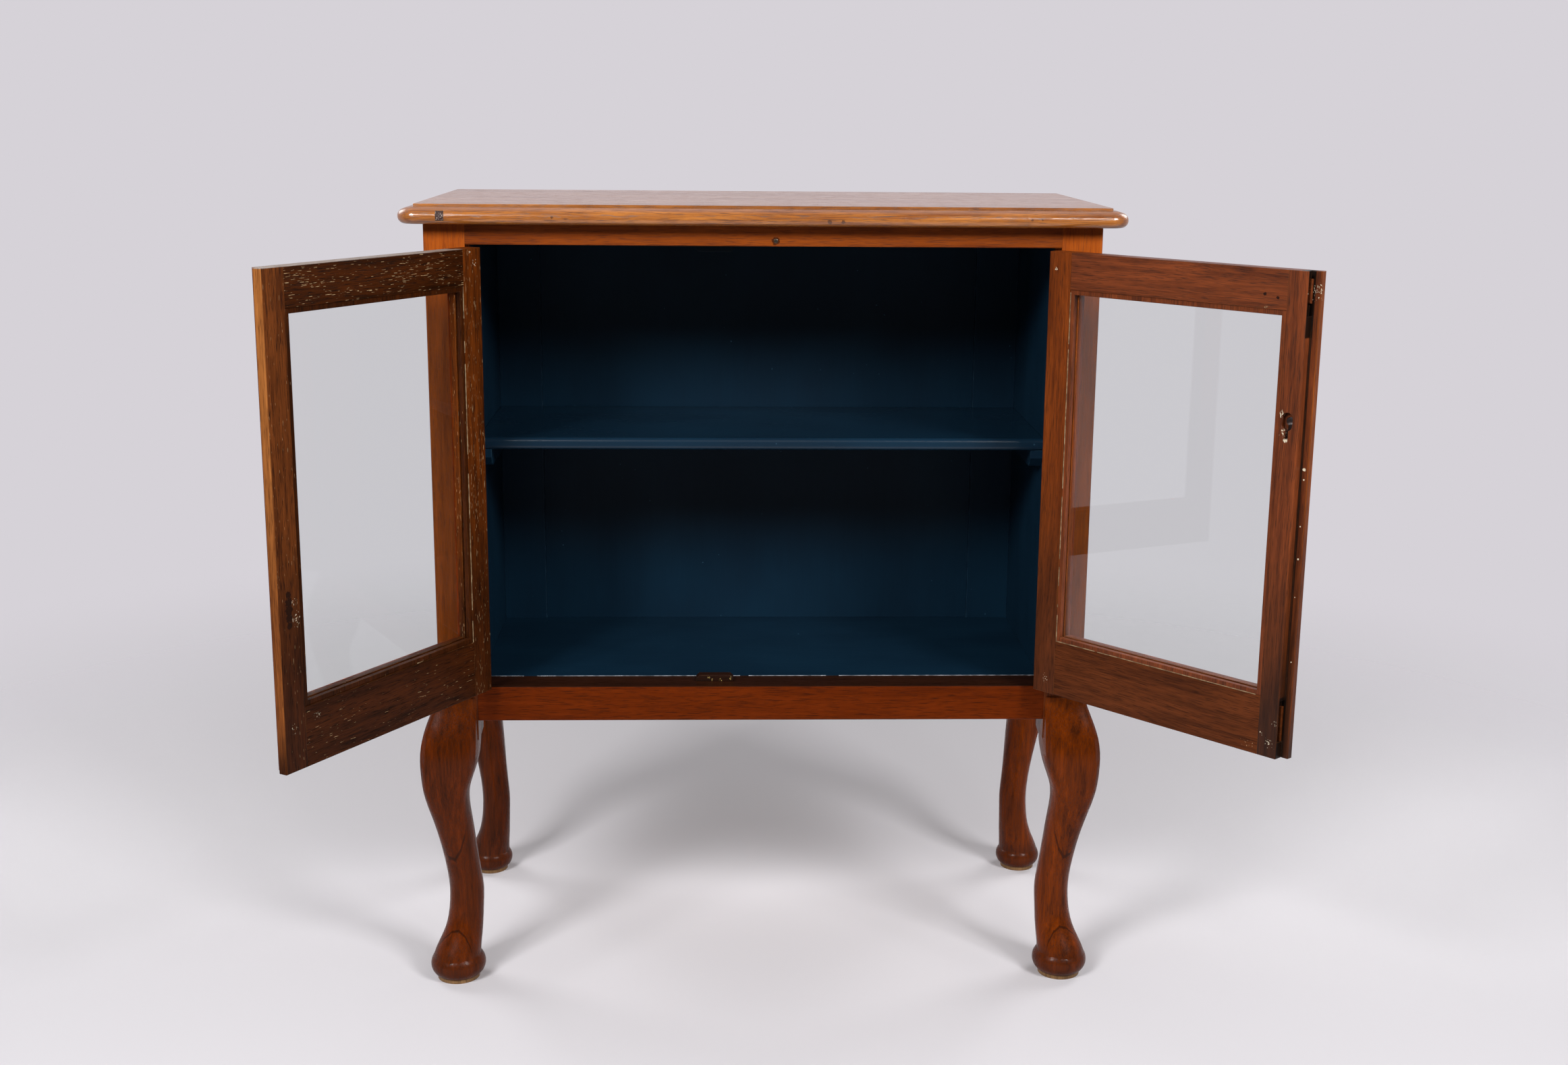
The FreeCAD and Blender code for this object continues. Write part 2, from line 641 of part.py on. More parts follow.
def door_stile(edge_front, edge_back, step_y, glass):
    """A full-height stile with the arrises of its outer edge rounded."""
    height = DOOR_TOP_Z - DOOR_BASE_Z
    stile = prism(stile_outline(edge_front, edge_back, step_y, glass), V(0, 0, height))
    stile.translate(V(0, 0, DOOR_BASE_Z))
    tip = max(edge_front, edge_back) if glass < edge_back else min(edge_front, edge_back)
    spots = ((edge_front, FRONT_Y), (edge_back, DOOR_BACK_Y), (tip, step_y))
    outer = []
    for edge in long_edges(stile, UP, height):
        middle = edge.CenterOfMass
        if any(abs(middle.x - x) + abs(middle.y - y) < 1e-3 for x, y in spots):
            outer.append(edge)
    return stile.makeFillet(DOOR_ARRIS, outer)


def door_rail(x, z, glass_z):
    """A door rail: long shoulders at the back, short ones at the front lip, and its two tenons."""
    toward = 1 if glass_z > min(z) else -1
    sight = glass_z + toward * GLAZING_REBATE
    outer = min(z) if toward > 0 else max(z)
    lip = (x[0] + GLAZING_REBATE, x[1] - GLAZING_REBATE)
    front = box(lip, (FRONT_Y, GLASS_Y), (outer, sight))
    back = box(x, (GLASS_Y, DOOR_BACK_Y), (outer, glass_z))
    face = (FRONT_Y + DOOR_TENON_FACE, FRONT_Y + DOOR_TENON_FACE + DOOR_TENON_THICK)
    tall = (min(z) + DOOR_TENON_SHOULDER, max(z) - DOOR_TENON_SHOULDER)
    tenons = []
    mortises = []
    for end, way in ((x[0], -1), (x[1], 1)):
        root = end - way * GLAZING_REBATE
        tenons.append(box((root, end + way * DOOR_TENON_LENGTH), face, tall))
        room = (root, end + way * (DOOR_TENON_LENGTH + TENON_CLEARANCE))
        mortises.append(box(room, grown(face, TENON_CLEARANCE), grown(tall, TENON_CLEARANCE)))
    return joined([front, back] + tenons), mortises


def glazing(x, z):
    """The pane in its rebate and the four beads that hold it."""
    gap = GLASS_EDGE_GAP
    pane = box(grown(x, -gap), (GLASS_Y, BEAD_Y), grown(z, -gap))
    deep = (BEAD_Y, BEAD_Y + BEAD_DEPTH)
    beads = []
    for end, way in ((x[0], 1), (x[1], -1)):
        beads.append(box((end, end + way * BEAD_WIDTH), deep, z))
    for end, way in ((z[0], 1), (z[1], -1)):
        beads.append(box(grown(x, -BEAD_WIDTH), deep, (end, end + way * BEAD_WIDTH)))
    return pane, Part.makeCompound(beads)


def door(word, side):
    """Every piece of one door, shut. The right door has the cover lip, the keyhole and the bolt seats."""
    cover = side > 0
    front, inner, glass = door_sides(cover)
    glass_x = (-HINGE_EDGE_X + STILE_WIDTH, glass)
    glass_z = (DOOR_BASE_Z + DOOR_BOTTOM_RAIL, DOOR_TOP_Z - DOOR_TOP_RAIL)
    top_rail, top_cuts = door_rail(glass_x, (glass_z[1], DOOR_TOP_Z), glass_z[1])
    bottom_rail, bottom_cuts = door_rail(glass_x, (DOOR_BASE_Z, glass_z[0]), glass_z[0])
    mortises = top_cuts + bottom_cuts
    recesses = [leaf_recess(base, 1) for base in HINGE_BASES_Z]
    hinge_stile = door_stile(-HINGE_EDGE_X, -HINGE_EDGE_X, DOOR_BACK_Y, glass_x[0]).cut(mortises + recesses)
    step_y = FRONT_Y + MEETING_LIP_THICK + (0 if cover else MEETING_DEPTH_GAP)
    meeting_stile = door_stile(front, inner, step_y, glass).cut(mortises)
    pane, beads = glazing(glass_x, glass_z)
    nodes = {
        word + "_hinge_stile": hinge_stile,
        word + "_meeting_stile": meeting_stile,
        word + "_door_top_rail": top_rail,
        word + "_door_bottom_rail": bottom_rail,
        word + "_glass": pane,
        word + "_glazing_beads": beads,
    }
    for level, base in zip(("lower", "upper"), HINGE_BASES_Z):
        nodes[word + "_hinge_door_leaf_" + level] = door_leaf(base)
    if cover:
        nodes[word + "_meeting_stile"] = meeting_stile.cut(lock_cuts() + bolt_seats(inner, step_y))
    angle = (LEFT_OPEN_DEG, RIGHT_OPEN_DEG)[cover]
    return {name: swung(on_side(shape, side), side, angle) for name, shape in nodes.items()}


def lock_cuts():
    """The keyhole through the stile, and the oval recess chiselled round it on the inner face."""
    x = -HINGE_EDGE_X + KEYHOLE_FROM_HINGE
    floor = DOOR_BACK_Y - CHISELLED_DEPTH
    half = KEYHOLE_SLOT_WIDTH / 2
    cuts = [
        Part.makeCylinder(KEYHOLE_RADIUS, DOOR_THICK, V(x, FRONT_Y, KEYHOLE_Z), V(0, 1, 0)),
        box((x - half, x + half), (FRONT_Y, DOOR_BACK_Y), (KEYHOLE_Z - KEYHOLE_SLOT_DROP, KEYHOLE_Z)),
    ]
    for rise in (-CHISELLED_RISE, CHISELLED_RISE):
        hub = V(x, floor, KEYHOLE_Z + rise)
        cuts.append(Part.makeCylinder(CHISELLED_RADIUS, CHISELLED_DEPTH, hub, V(0, 1, 0)))
    wide = (x - CHISELLED_RADIUS, x + CHISELLED_RADIUS)
    cuts.append(box(wide, (floor, DOOR_BACK_Y), (KEYHOLE_Z - CHISELLED_RISE, KEYHOLE_Z + CHISELLED_RISE)))
    return cuts


def bolt_seats(inner, step_y):
    """Two shallow seats in the stepped edge, one at the top and one a little above the bottom."""
    deep = (inner, inner - BOLT_SEAT_DEPTH)
    across = (step_y, DOOR_BACK_Y - BOLT_SEAT_ARRIS)
    low = DOOR_BASE_Z + BOLT_SEAT_LIFT
    return [
        box(deep, across, (DOOR_TOP_Z - BOLT_SEAT_LENGTH, DOOR_TOP_Z)),
        box(deep, across, (low, low + BOLT_SEAT_LENGTH)),
    ]


def swung(shape, side, angle):
    """A door's piece turned about its hinge pins from shut to the stored angle."""
    return shape.rotated(V(side * PIN_X, PIN_Y, 0), UP, side * angle)


def case_hinges():
    """The leaves on the posts, with their pins."""
    nodes = {}
    for word, side in (("left", -1), ("right", 1)):
        for level, base in zip(("lower", "upper"), HINGE_BASES_Z):
            nodes[word + "_hinge_post_leaf_" + level] = on_side(post_leaf(base), side)
    return nodes


def main():
    """Build every piece, test that it is sound, and write it out."""
    rails, mortises = case_rails()
    nodes = {}
    for group in (
        top_board(),
        legs(mortises),
        rails,
        case_boards(),
        door_stops(),
        top_blocks(),
        case_hinges(),
        door("left", -1),
        door("right", 1),
    ):
        nodes.update(group)
    os.makedirs("parts", exist_ok=True)
    for name, shape in nodes.items():
        if not shape.isValid() or shape.Volume <= 0:
            raise ValueError(name + " is not a sound solid")
        shape.exportStep(os.path.join("parts", name + ".step"))
        print(name, len(shape.Solids), round(shape.Volume / 1000, 1), "cm3")


main()
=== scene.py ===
"""Looks of a glazed two-door display cabinet on cabriole legs.

The case is stained and polished wood outside and dark blue paint inside, and its two glazed doors
stand open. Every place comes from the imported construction, in metres, with +Z up and the doors
facing -Y.
"""

from __future__ import annotations

import json
import logging
import math
from dataclasses import dataclass, field, replace
from enum import Enum

import bmesh
import bpy
from bpy.types import Material, Mesh, Node, NodeSocket, NodeTree, Object
from mathutils import Matrix, Vector

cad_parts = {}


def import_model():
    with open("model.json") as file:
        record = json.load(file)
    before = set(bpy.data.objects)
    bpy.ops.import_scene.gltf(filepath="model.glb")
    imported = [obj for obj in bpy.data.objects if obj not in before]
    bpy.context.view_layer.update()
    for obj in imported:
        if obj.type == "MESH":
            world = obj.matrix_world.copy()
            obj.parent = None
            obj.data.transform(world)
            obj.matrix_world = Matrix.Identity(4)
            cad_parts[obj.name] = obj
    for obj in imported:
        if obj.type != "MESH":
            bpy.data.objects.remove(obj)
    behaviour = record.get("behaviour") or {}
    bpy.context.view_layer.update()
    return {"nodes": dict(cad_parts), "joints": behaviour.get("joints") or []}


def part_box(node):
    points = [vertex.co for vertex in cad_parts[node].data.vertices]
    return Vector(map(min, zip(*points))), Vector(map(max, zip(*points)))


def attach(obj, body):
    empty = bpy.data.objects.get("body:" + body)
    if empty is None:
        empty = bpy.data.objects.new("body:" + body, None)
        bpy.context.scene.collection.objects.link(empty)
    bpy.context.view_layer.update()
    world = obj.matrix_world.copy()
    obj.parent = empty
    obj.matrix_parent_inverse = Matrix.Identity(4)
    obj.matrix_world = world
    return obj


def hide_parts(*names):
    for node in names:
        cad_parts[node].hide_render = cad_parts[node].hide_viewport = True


LOG = logging.getLogger("cabinet")

PHOTO_WIDTH = 2324
X_WAY = Vector((1.0, 0.0, 0.0))
Y_WAY = Vector((0.0, 1.0, 0.0))
Z_WAY = Vector((0.0, 0.0, 1.0))
MM = 0.001
SIDES = {"left": -1.0, "right": 1.0}

Colour = tuple[float, float, float, float]
Range = tuple[float, float]


class Slot(Enum):
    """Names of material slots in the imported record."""

    WOOD = "stained_wood"
    PAINT = "painted_interior"
    BRASS = "hinge_brass"


class Body(Enum):
    """Bodies that pieces ride on."""

    CASE = "case"
    LEFT_DOOR = "left_door"
    RIGHT_DOOR = "right_door"


def srgb(code: str) -> Colour:
    """The linear colour of a six-digit sRGB code.

    Args:
        code: Two hexadecimal digits each for red, green and blue.

    Returns:
        Red, green, blue and an alpha of 1.
    """
    values = []
    for start in (0, 2, 4):
        share = int(code[start : start + 2], 16) / 255
        values.append(share / 12.92 if share <= 0.04045 else ((share + 0.055) / 1.055) ** 2.4)
    return (values[0], values[1], values[2], 1.0)


# Finishes


@dataclass(frozen=True)
class Tint:
    """The tones of stained wood.

    Attributes:
        light: Colour of the pale early wood.
        dark: Colour of the dark streaks.
        pore: Colour of the open pores.
        pores: How strongly the pores show.
    """

    light: str
    dark: str
    pore: str
    pores: float = 0.5


@dataclass(frozen=True)
class Stain(Tint):
    """A polished stain: its tones, how its figure shows, and its gloss.

    Attributes:
        rub: Colour of an arris that hands have rubbed.
        contrast: How far the streaks swing between dark and light.
        rough: Roughness of the polish.
        gloss: Specular level of the polish.
        coat: Weight of the clear polish on top.
    """

    rub: str = "8A5428"
    contrast: float = 1.5
    rough: float = 0.34
    gloss: float = 0.2
    coat: float = 0.0


@dataclass(frozen=True)
class Paint:
    """A brushed satin paint over wood."""

    light: str
    dark: str
    worn: str
    rough: float = 0.4
    gloss: float = 0.12


@dataclass(frozen=True)
class Metal:
    """An aged metal with bright rubbed edges."""

    bright: str
    tarnish: str
    rough: float = 0.42


TOP_STAIN = Stain("AC6A2E", "743D17", "40200E", 0.7, "BC864C", contrast=2.6, rough=0.17, gloss=0.8)
TOP_RAIL_STAIN = Stain("8A4212", "5A2407", "2C1005", 0.5, "99541F", contrast=1.6, gloss=0.12)
RAIL_STAIN = Stain("672603", "421400", "240C02", 0.6, "8E4A1A", contrast=1.3, gloss=0.05)
# A darker stain for the left legs and a lighter copy for the right ones: painted light and shade, as light
# falls from the right
SHADED_LEFT_LEG_STAIN = Stain(
    "602502", "301101", "1C0A02", 0.35, "7C3F18", contrast=2.1, rough=0.3, gloss=0.08, coat=0.05
)
LIT_RIGHT_LEG_STAIN = replace(SHADED_LEFT_LEG_STAIN, light="763003", dark="3C1601", pore="200C02", rub="84441A")
LEFT_STAIN = Stain("462009", "220D02", "120702", 0.8, "7C4A24", contrast=2.2, rough=0.4, gloss=0.05)
LEFT_STILE_STAIN = replace(
    LEFT_STAIN, light="763E19", dark="381807", pore="1C0C05", rub="8E5628", gloss=0.06
)
LEFT_HINGE_STAIN = Stain("78390F", "361503", "200E05", 0.7, "8A5428", contrast=2.0, rough=0.4, gloss=0.05)
RIGHT_STAIN = Stain("7C3D1E", "47200F", "221007", 0.55, "9C6234", contrast=2.3, rough=0.38, gloss=0.16)
# A darker copy of the right door's stain for its lower wood: painted shade, as less light reaches low down
RIGHT_SHADED_LOW_STAIN = replace(
    RIGHT_STAIN, light="623014", dark="361706", pore="1C0C05", rub="82502A", gloss=0.08
)
RIGHT_HINGE_STAIN = Stain("843E12", "461B06", "2C1207", 0.6, "A4622C", contrast=1.8, rough=0.38, gloss=0.12)
STOP_STAIN = Stain("2E160B", "120804", "0A0402", 0.5, "7A5A38", contrast=2.0, rough=0.5, gloss=0.1)
PLUG_STAIN = Stain("4A3530", "241614", "160E0C", 0.5, "6A544C", contrast=2.0, rough=0.5)
BARE_WOOD = Stain("A98358", "7C5935", "553A22", 0.6, "B99467", contrast=1.4, rough=0.7)

# The post's pale tone at the top, and a darker copy of it lower down: painted shade, for the shade of the
# open doors
POST_TINT = Tint("A25018", "80380D", "4F220A", 0.4)
SHADED_POST_TINT = Tint("763A14", "502409", "361808", 0.4)
FOOT_TINT = Tint("5C2609", "321304", "1C0A05")
DISC_TINT = Tint("8E6C48", "5C432B", "33241A")
LEFT_EDGE_TINT = Tint("A66834", "703D18", "3C1D0C")
LEFT_EDGE_LOW_TINT = Tint("8E5226", "552A10", "2C140A")
RIGHT_FOOT_TINT = Tint("42200E", "211006", "140805", 0.55)
RIGHT_EDGE_TINT = Tint("904A1B", "5A290D", "2E140A")
RIGHT_EDGE_LOW_TINT = Tint("6A3415", "421D0B", "200E06")
SHADE_TINT = Tint("341A0D", "1B0C06", "0E0604")
SEAT_TINT = Tint("1C0E07", "0C0603", "080402")
DUST_TINT = Tint("A2948A", "766860", "4A3C34")

INTERIOR_PAINT = Paint("0F2738", "0B1E2D", "4E7690")
SHELF_PAINT = replace(INTERIOR_PAINT, rough=0.3, gloss=0.3)
# A darker copy of the interior paint: painted shade under the top rail
STOP_SHADE_PAINT = Paint("081520", "050E16", "12283A")
HINGE_METAL = Metal("B08A4A", "4E3A1C")
NAIL_METAL = Metal("9A8878", "2C2019", rough=0.35)
GLASS_COLOUR = "F2F5F4"
PUTTY_COLOUR = "9A8462"
PUTTY_DIRT = "5E462C"
PALE_EDGE_COLOUR = "D0D4DC"
PALE_EDGE_DARK = "5E6872"
CRUMB_COLOUR = "D8CBB0"
FLECK_COLOUR = "C4A67C"
CHIP_COLOUR = "A08850"
SCRATCH_COLOUR = "A3958E"
DENT_COLOUR = "3C1D0D"
RUST_COLOUR = "2A1207"
BURN_COLOUR = "1C0D06"
# Painted shade for holes that are not modelled
HOLE_SHADE_COLOUR = "0C0604"
# Near-black painted shade laid into inner corners
CORNER_SHADE_COLOUR = "120A06"

# How much of each effect shows
RING_COVER = 0.7
FLECK_COVER = 0.8
RUB_COVER = 0.55
# How much painted shade shows in inner corners
CORNER_SHADE_COVER = 0.6
PAINT_RUB_COVER = 0.5
PAINT_CHIP_COVER = 0.4
TARNISH_COVER = 0.6
WOOD_ARRIS = 1.6 * MM
PAINT_ARRIS = 1.4 * MM
METAL_ARRIS = 0.5 * MM
COAT_ROUGH = 0.12

# Strength and height of the fine relief on each surface
WOOD_RELIEF = (0.25, 0.4 * MM)
PAINT_RELIEF = (0.2, 0.3 * MM)
GLASS_RELIEF = (0.02, 0.5 * MM)


@dataclass(frozen=True)
class Ripple:
    """One layer of noise in a pattern.

    Attributes:
        cells: Cells to the metre along X, Y and Z.
        detail: Number of finer layers.
        rough: Strength of the finer layers.
        share: How much of the pattern it makes.
    """

    cells: tuple[float, float, float]
    detail: float = 2.0
    rough: float = 0.5
    share: float = 1.0


GRAIN_SWAY = Ripple((2.5, 12.0, 12.0), detail=1.0)
HAIR_GRAIN = Ripple((34.0, 900.0, 900.0), share=0.2)
BROAD_GRAIN = Ripple((3.0, 34.0, 34.0), share=0.26)
FIGURE_GRAIN = Ripple((16.0, 80.0, 80.0), detail=3.0, rough=0.6, share=0.16)
STREAK_GRAIN = Ripple((9.0, 210.0, 210.0), detail=4.0, rough=0.6, share=0.38)
PORE_GRAIN = Ripple((52.0, 1050.0, 1050.0))
FLECK_DASH = Ripple((95.0, 1400.0, 1400.0), detail=1.0)
FLECK_PATCH = Ripple((9.0, 30.0, 30.0))
RUB_PATCH = Ripple((45.0, 45.0, 45.0), detail=3.0)
RING_SWAY = Ripple((22.0, 22.0, 6.0))
PAINT_CLOUD = Ripple((5.0, 9.0, 9.0), detail=3.0, share=0.85)
BRUSH_MARKS = Ripple((14.0, 300.0, 300.0), share=0.15)
PAINT_GRIT = Ripple((260.0, 260.0, 260.0))
PAINT_CHIPS = Ripple((150.0, 150.0, 150.0))
SPOT_SWAY = Ripple((420.0, 420.0, 420.0))
SPOT_GRIT = Ripple((640.0, 640.0, 420.0))
TARNISH = Ripple((160.0, 160.0, 160.0), detail=4.0, rough=0.6)
GLASS_WAVE = Ripple((14.0, 14.0, 9.0), detail=1.0)
PUTTY_PATCH = Ripple((130.0, 130.0, 130.0), detail=3.0)


@dataclass(frozen=True)
class Plane:
    """A soft boundary across a direction.

    Attributes:
        way: Direction across the plane.
        start: Where the change starts, along that direction from the origin.
        end: Where it is complete.
    """

    way: Vector
    start: float
    end: float

    @classmethod
    def above(cls, fade: Range) -> Plane:
        """Complete above the second of two heights."""
        return cls(Z_WAY, *fade)

    @classmethod
    def below(cls, fade: Range) -> Plane:
        """Complete below the second of two heights."""
        return cls(-Z_WAY, *(-height for height in fade))


@dataclass(frozen=True)
class Region:
    """Part of a board past every one of some planes, where it has other tones."""

    tint: Tint
    planes: tuple[Plane, ...]


@dataclass(frozen=True)
class Bare:
    """Wood left unpainted past a plane."""

    stain: Stain
    plane: Plane


@dataclass(frozen=True)
class Ring:
    """A dark year ring on one plane, from its start to its end, shown past another."""

    plane: Plane
    within: Plane


@dataclass(frozen=True)
class Mark:
    """A spot on a surface, such as a dent, a hole or a dab of old paint.

    Attributes:
        place: Its middle.
        radius: Its size.
        colour: Its colour.
        ragged: How far its outline wanders, as a share of its radius.
        strength: How much of it shows.
        crumbs: From 0, a whole spot, to 1, a few crumbs within it.
    """

    place: Vector
    radius: float
    colour: str
    ragged: float = 0.5
    strength: float = 1.0
    crumbs: float = 0.0


@dataclass(frozen=True)
class Board:
    """One wooden node, with the way that its grain runs and what its surface shows."""

    node: str
    grain: Vector
    stain: Stain
    regions: tuple[Region, ...] = ()
    polished: tuple[Region, ...] = ()
    marks: tuple[Mark, ...] = ()
    flecks: float = 0.0
    ring: Ring | None = None
    smooth: bool = False


# Shader nodes


class Graph:
    """Places and joins the nodes of one node tree."""

    def __init__(self, tree: NodeTree) -> None:
        """Keep the tree that nodes go into."""
        self.tree = tree

    def add(self, kind: str, **settings: object) -> Node:
        """A new node with its properties set.

        Args:
            kind: Blender's type name of the node.
            settings: Properties of the node by name.

        Returns:
            The node.
        """
        node = self.tree.nodes.new(kind)
        for name, value in settings.items():
            setattr(node, name, value)
        return node

    def feed(self, socket: NodeSocket, value: object) -> None:
        """Join a socket to an input, or set the input to a plain value."""
        if isinstance(value, NodeSocket):
            self.tree.links.new(value, socket)
        else:
            socket.default_value = value

    def math(self, operation: str, *values: object, clamp: bool = False) -> NodeSocket:
        """The result of a sum on one, two or three numbers."""
        node = self.add("ShaderNodeMath", operation=operation, use_clamp=clamp)
        for socket, value in zip(node.inputs, values):
            self.feed(socket, value)
        return node.outputs[0]

    def vector(self, operation: str, *values: object) -> NodeSocket:
        """The result of a sum on vectors, a number where the operation gives one."""
        node = self.add("ShaderNodeVectorMath", operation=operation)
        for socket, value in zip(node.inputs, values):
            self.feed(socket, value)
        single = operation in ("DOT_PRODUCT", "LENGTH", "DISTANCE")
        return node.outputs["Value" if single else "Vector"]

    def noise(self, place: object, ripple: Ripple) -> NodeSocket:
        """One layer of noise from 0 to 1."""
        node = self.add("ShaderNodeTexNoise")
        self.feed(node.inputs["Vector"], self.vector("MULTIPLY", place, ripple.cells))
        for name, value in (("Scale", 1.0), ("Detail", ripple.detail), ("Roughness", ripple.rough)):
            node.inputs[name].default_value = value
        return node.outputs[0]

    def ramp(self, value: object, start: object, end: object) -> NodeSocket:
        """A soft step from 0 at start to 1 at end."""
        node = self.add("ShaderNodeMapRange", interpolation_type="SMOOTHSTEP")
        for name, item in (("Value", value), ("From Min", start), ("From Max", end)):
            self.feed(node.inputs[name], item)
        return node.outputs["Result"]

    def blend(self, share: object, first: object, second: object) -> NodeSocket:
        """One colour laid over another by a share."""
        node = self.add("ShaderNodeMix", data_type="RGBA")
        for index, value in ((0, share), (6, first), (7, second)):
            self.feed(node.inputs[index], value)
        return node.outputs[2]

    def cover(self, colour: object, mask: object, strength: float, code: str) -> NodeSocket:
        """A colour with another, given by its code, laid over it where a mask shows."""
        return self.blend(self.math("MULTIPLY", mask, strength), colour, srgb(code))

    def mix(self, share: object, first: NodeSocket, second: NodeSocket) -> NodeSocket:
        """One shader laid over another by a share."""
        node = self.add("ShaderNodeMixShader")
        for socket, value in zip(node.inputs, (share, first, second)):
            self.feed(socket, value)
        return node.outputs["Shader"]

    def bump(
        self, height: NodeSocket, strength: float, distance: float, normal: NodeSocket | None = None
    ) -> NodeSocket:
        """The normal of a surface with a fine relief.

        Args:
            height: The relief.
            strength: How strongly it shows.
            distance: How high it stands.
            normal: The normal under it, where that isn't the plain one.

        Returns:
            The normal.
        """
        node = self.add("ShaderNodeBump")
        for name, value in (("Strength", strength), ("Distance", distance), ("Height", height)):
            self.feed(node.inputs[name], value)
        if normal:
            self.feed(node.inputs["Normal"], normal)
        return node.outputs["Normal"]

    def group(self, tree: NodeTree, **values: object) -> Node:
        """A shared group placed here, with its inputs fed by name."""
        node = self.add("ShaderNodeGroup", node_tree=tree)
        for name, value in values.items():
            self.feed(node.inputs[name.replace("_", " ").title()], value)
        return node


class EffectShop:
    """Builds each shared effect once, as a shader node group."""

    def __init__(self) -> None:
        """Build every group."""
        self.grain = self._grain()
        self.tones = self._tones()
        self.flecks = self._flecks()
        self.edges = self._edges()
        self.ring = self._ring()
        self.brush = self._brush()
        self.spot = self._spot()

    @staticmethod
    def _open(name: str, inputs: dict[str, str], outputs: dict[str, str]) -> tuple[Graph, Node, Node]:
        """An empty group with its sockets.

        Args:
            name: Name of the group.
            inputs: Socket kinds by input name.
            outputs: Socket kinds by output name.

        Returns:
            The graph, its input node and its output node.
        """
        tree = bpy.data.node_groups.new(name, "ShaderNodeTree")
        for way, sockets in (("INPUT", inputs), ("OUTPUT", outputs)):
            for label, kind in sockets.items():
                tree.interface.new_socket(label, in_out=way, socket_type="NodeSocket" + kind)
        graph = Graph(tree)
        return graph, graph.add("NodeGroupInput"), graph.add("NodeGroupOutput")

    @staticmethod
    def _close(graph: Graph, result: Node, outputs: dict[str, NodeSocket]) -> NodeTree:
        """The group, with its outputs fed by name."""
        for name, socket in outputs.items():
            graph.feed(result.inputs[name], socket)
        return graph.tree

    def _grain(self) -> NodeTree:
        """Streaks and open pores that run along X."""
        graph, given, result = self._open(
            "board_grain",
            {"Vector": "Vector", "Contrast": "Float"},
            {"Tone": "Float", "Pore": "Float", "Height": "Float"},
        )
        middle, bend, bend_way = 0.5, 0.02, (0.0, 1.0, 0.6)
        streak_relief, pore_relief = 0.4, -0.7
        place = given.outputs["Vector"]
        sway = graph.math("SUBTRACT", graph.noise(place, GRAIN_SWAY), middle)
        shift = graph.vector("SCALE", bend_way)
        graph.feed(shift.node.inputs["Scale"], graph.math("MULTIPLY", sway, bend))
        bent = graph.vector("ADD", place, shift)
        layer = graph.noise(bent, HAIR_GRAIN)
        blended = graph.math("MULTIPLY", layer, HAIR_GRAIN.share)
        for ripple in (BROAD_GRAIN, FIGURE_GRAIN, STREAK_GRAIN):
            layer = graph.noise(bent, ripple)
            blended = graph.math("MULTIPLY_ADD", layer, ripple.share, blended)
        swing = graph.math("MULTIPLY", graph.math("SUBTRACT", blended, middle), given.outputs["Contrast"])
        tone = graph.math("MULTIPLY_ADD", swing, 2.0, middle, clamp=True)
        pore = graph.ramp(graph.noise(bent, PORE_GRAIN), 0.52, 0.66)
        relief = graph.math("MULTIPLY_ADD", pore, pore_relief, graph.math("MULTIPLY", layer, streak_relief))
        return self._close(graph, result, {"Tone": tone, "Pore": pore, "Height": relief})

    def _tones(self) -> NodeTree:
        """The colour of stained wood from its tone and pores."""
        graph, given, result = self._open(
            "stain_tones",
            {
                "Tone": "Float",
                "Pore": "Float",
                "Light": "Color",
                "Dark": "Color",
                "Pore Colour": "Color",
                "Pore Strength": "Float",
            },
            {"Color": "Color"},
        )
        base = graph.blend(given.outputs["Tone"], given.outputs["Dark"], given.outputs["Light"])
        share = graph.math("MULTIPLY", given.outputs["Pore"], given.outputs["Pore Strength"])
        colour = graph.blend(share, base, given.outputs["Pore Colour"])
        return self._close(graph, result, {"Color": colour})

    def _flecks(self) -> NodeTree:
        """Short pale dashes of old filler left in the grain, in patches."""
        graph, given, result = self._open(
            "filler_flecks", {"Vector": "Vector", "Amount": "Float"}, {"Mask": "Float"}
        )
        bare_edge, swing, soft = 0.828, -0.15, 0.04
        place = given.outputs["Vector"]
        patch = graph.ramp(graph.noise(place, FLECK_PATCH), 0.0, 0.62)
        amount = graph.math("MULTIPLY", patch, given.outputs["Amount"])
        edge = graph.math("MULTIPLY_ADD", amount, swing, bare_edge)
        mask = graph.ramp(graph.noise(place, FLECK_DASH), edge, graph.math("ADD", edge, soft))
        return self._close(graph, result, {"Mask": mask})

    def _edges(self) -> NodeTree:
        """Rubbed arrises, painted shade in inner corners and the eased normal of an arris."""
        graph, given, result = self._open(
            "worn_edges",
            {"Vector": "Vector", "Radius": "Float"},
            {"Rub": "Float", "CornerShade": "Float", "Normal": "Vector"},
        )
        samples, corner_reach = 4, 12.0 * MM
        eased = graph.add("ShaderNodeBevel", samples=samples)
        graph.feed(eased.inputs["Radius"], given.outputs["Radius"])
        true = graph.add("ShaderNodeNewGeometry").outputs["Normal"]
        turn = graph.math("SUBTRACT", 1.0, graph.vector("DOT_PRODUCT", eased.outputs["Normal"], true))
        # Ambient occlusion marks the inner corners that get painted shade
        shade = graph.add("ShaderNodeAmbientOcclusion", samples=samples, only_local=True)
        shade.inputs["Distance"].default_value = corner_reach
        closed = graph.ramp(graph.math("SUBTRACT", 1.0, shade.outputs["AO"]), 0.25, 0.85)
        patch = graph.ramp(graph.noise(given.outputs["Vector"], RUB_PATCH), 0.35, 0.7)
        rub = graph.math("MULTIPLY", graph.ramp(turn, 0.03, 0.28), patch)
        rub = graph.math("MULTIPLY", rub, graph.math("SUBTRACT", 1.0, closed))
        return self._close(graph, result, {"Rub": rub, "CornerShade": closed, "Normal": eased.outputs["Normal"]})

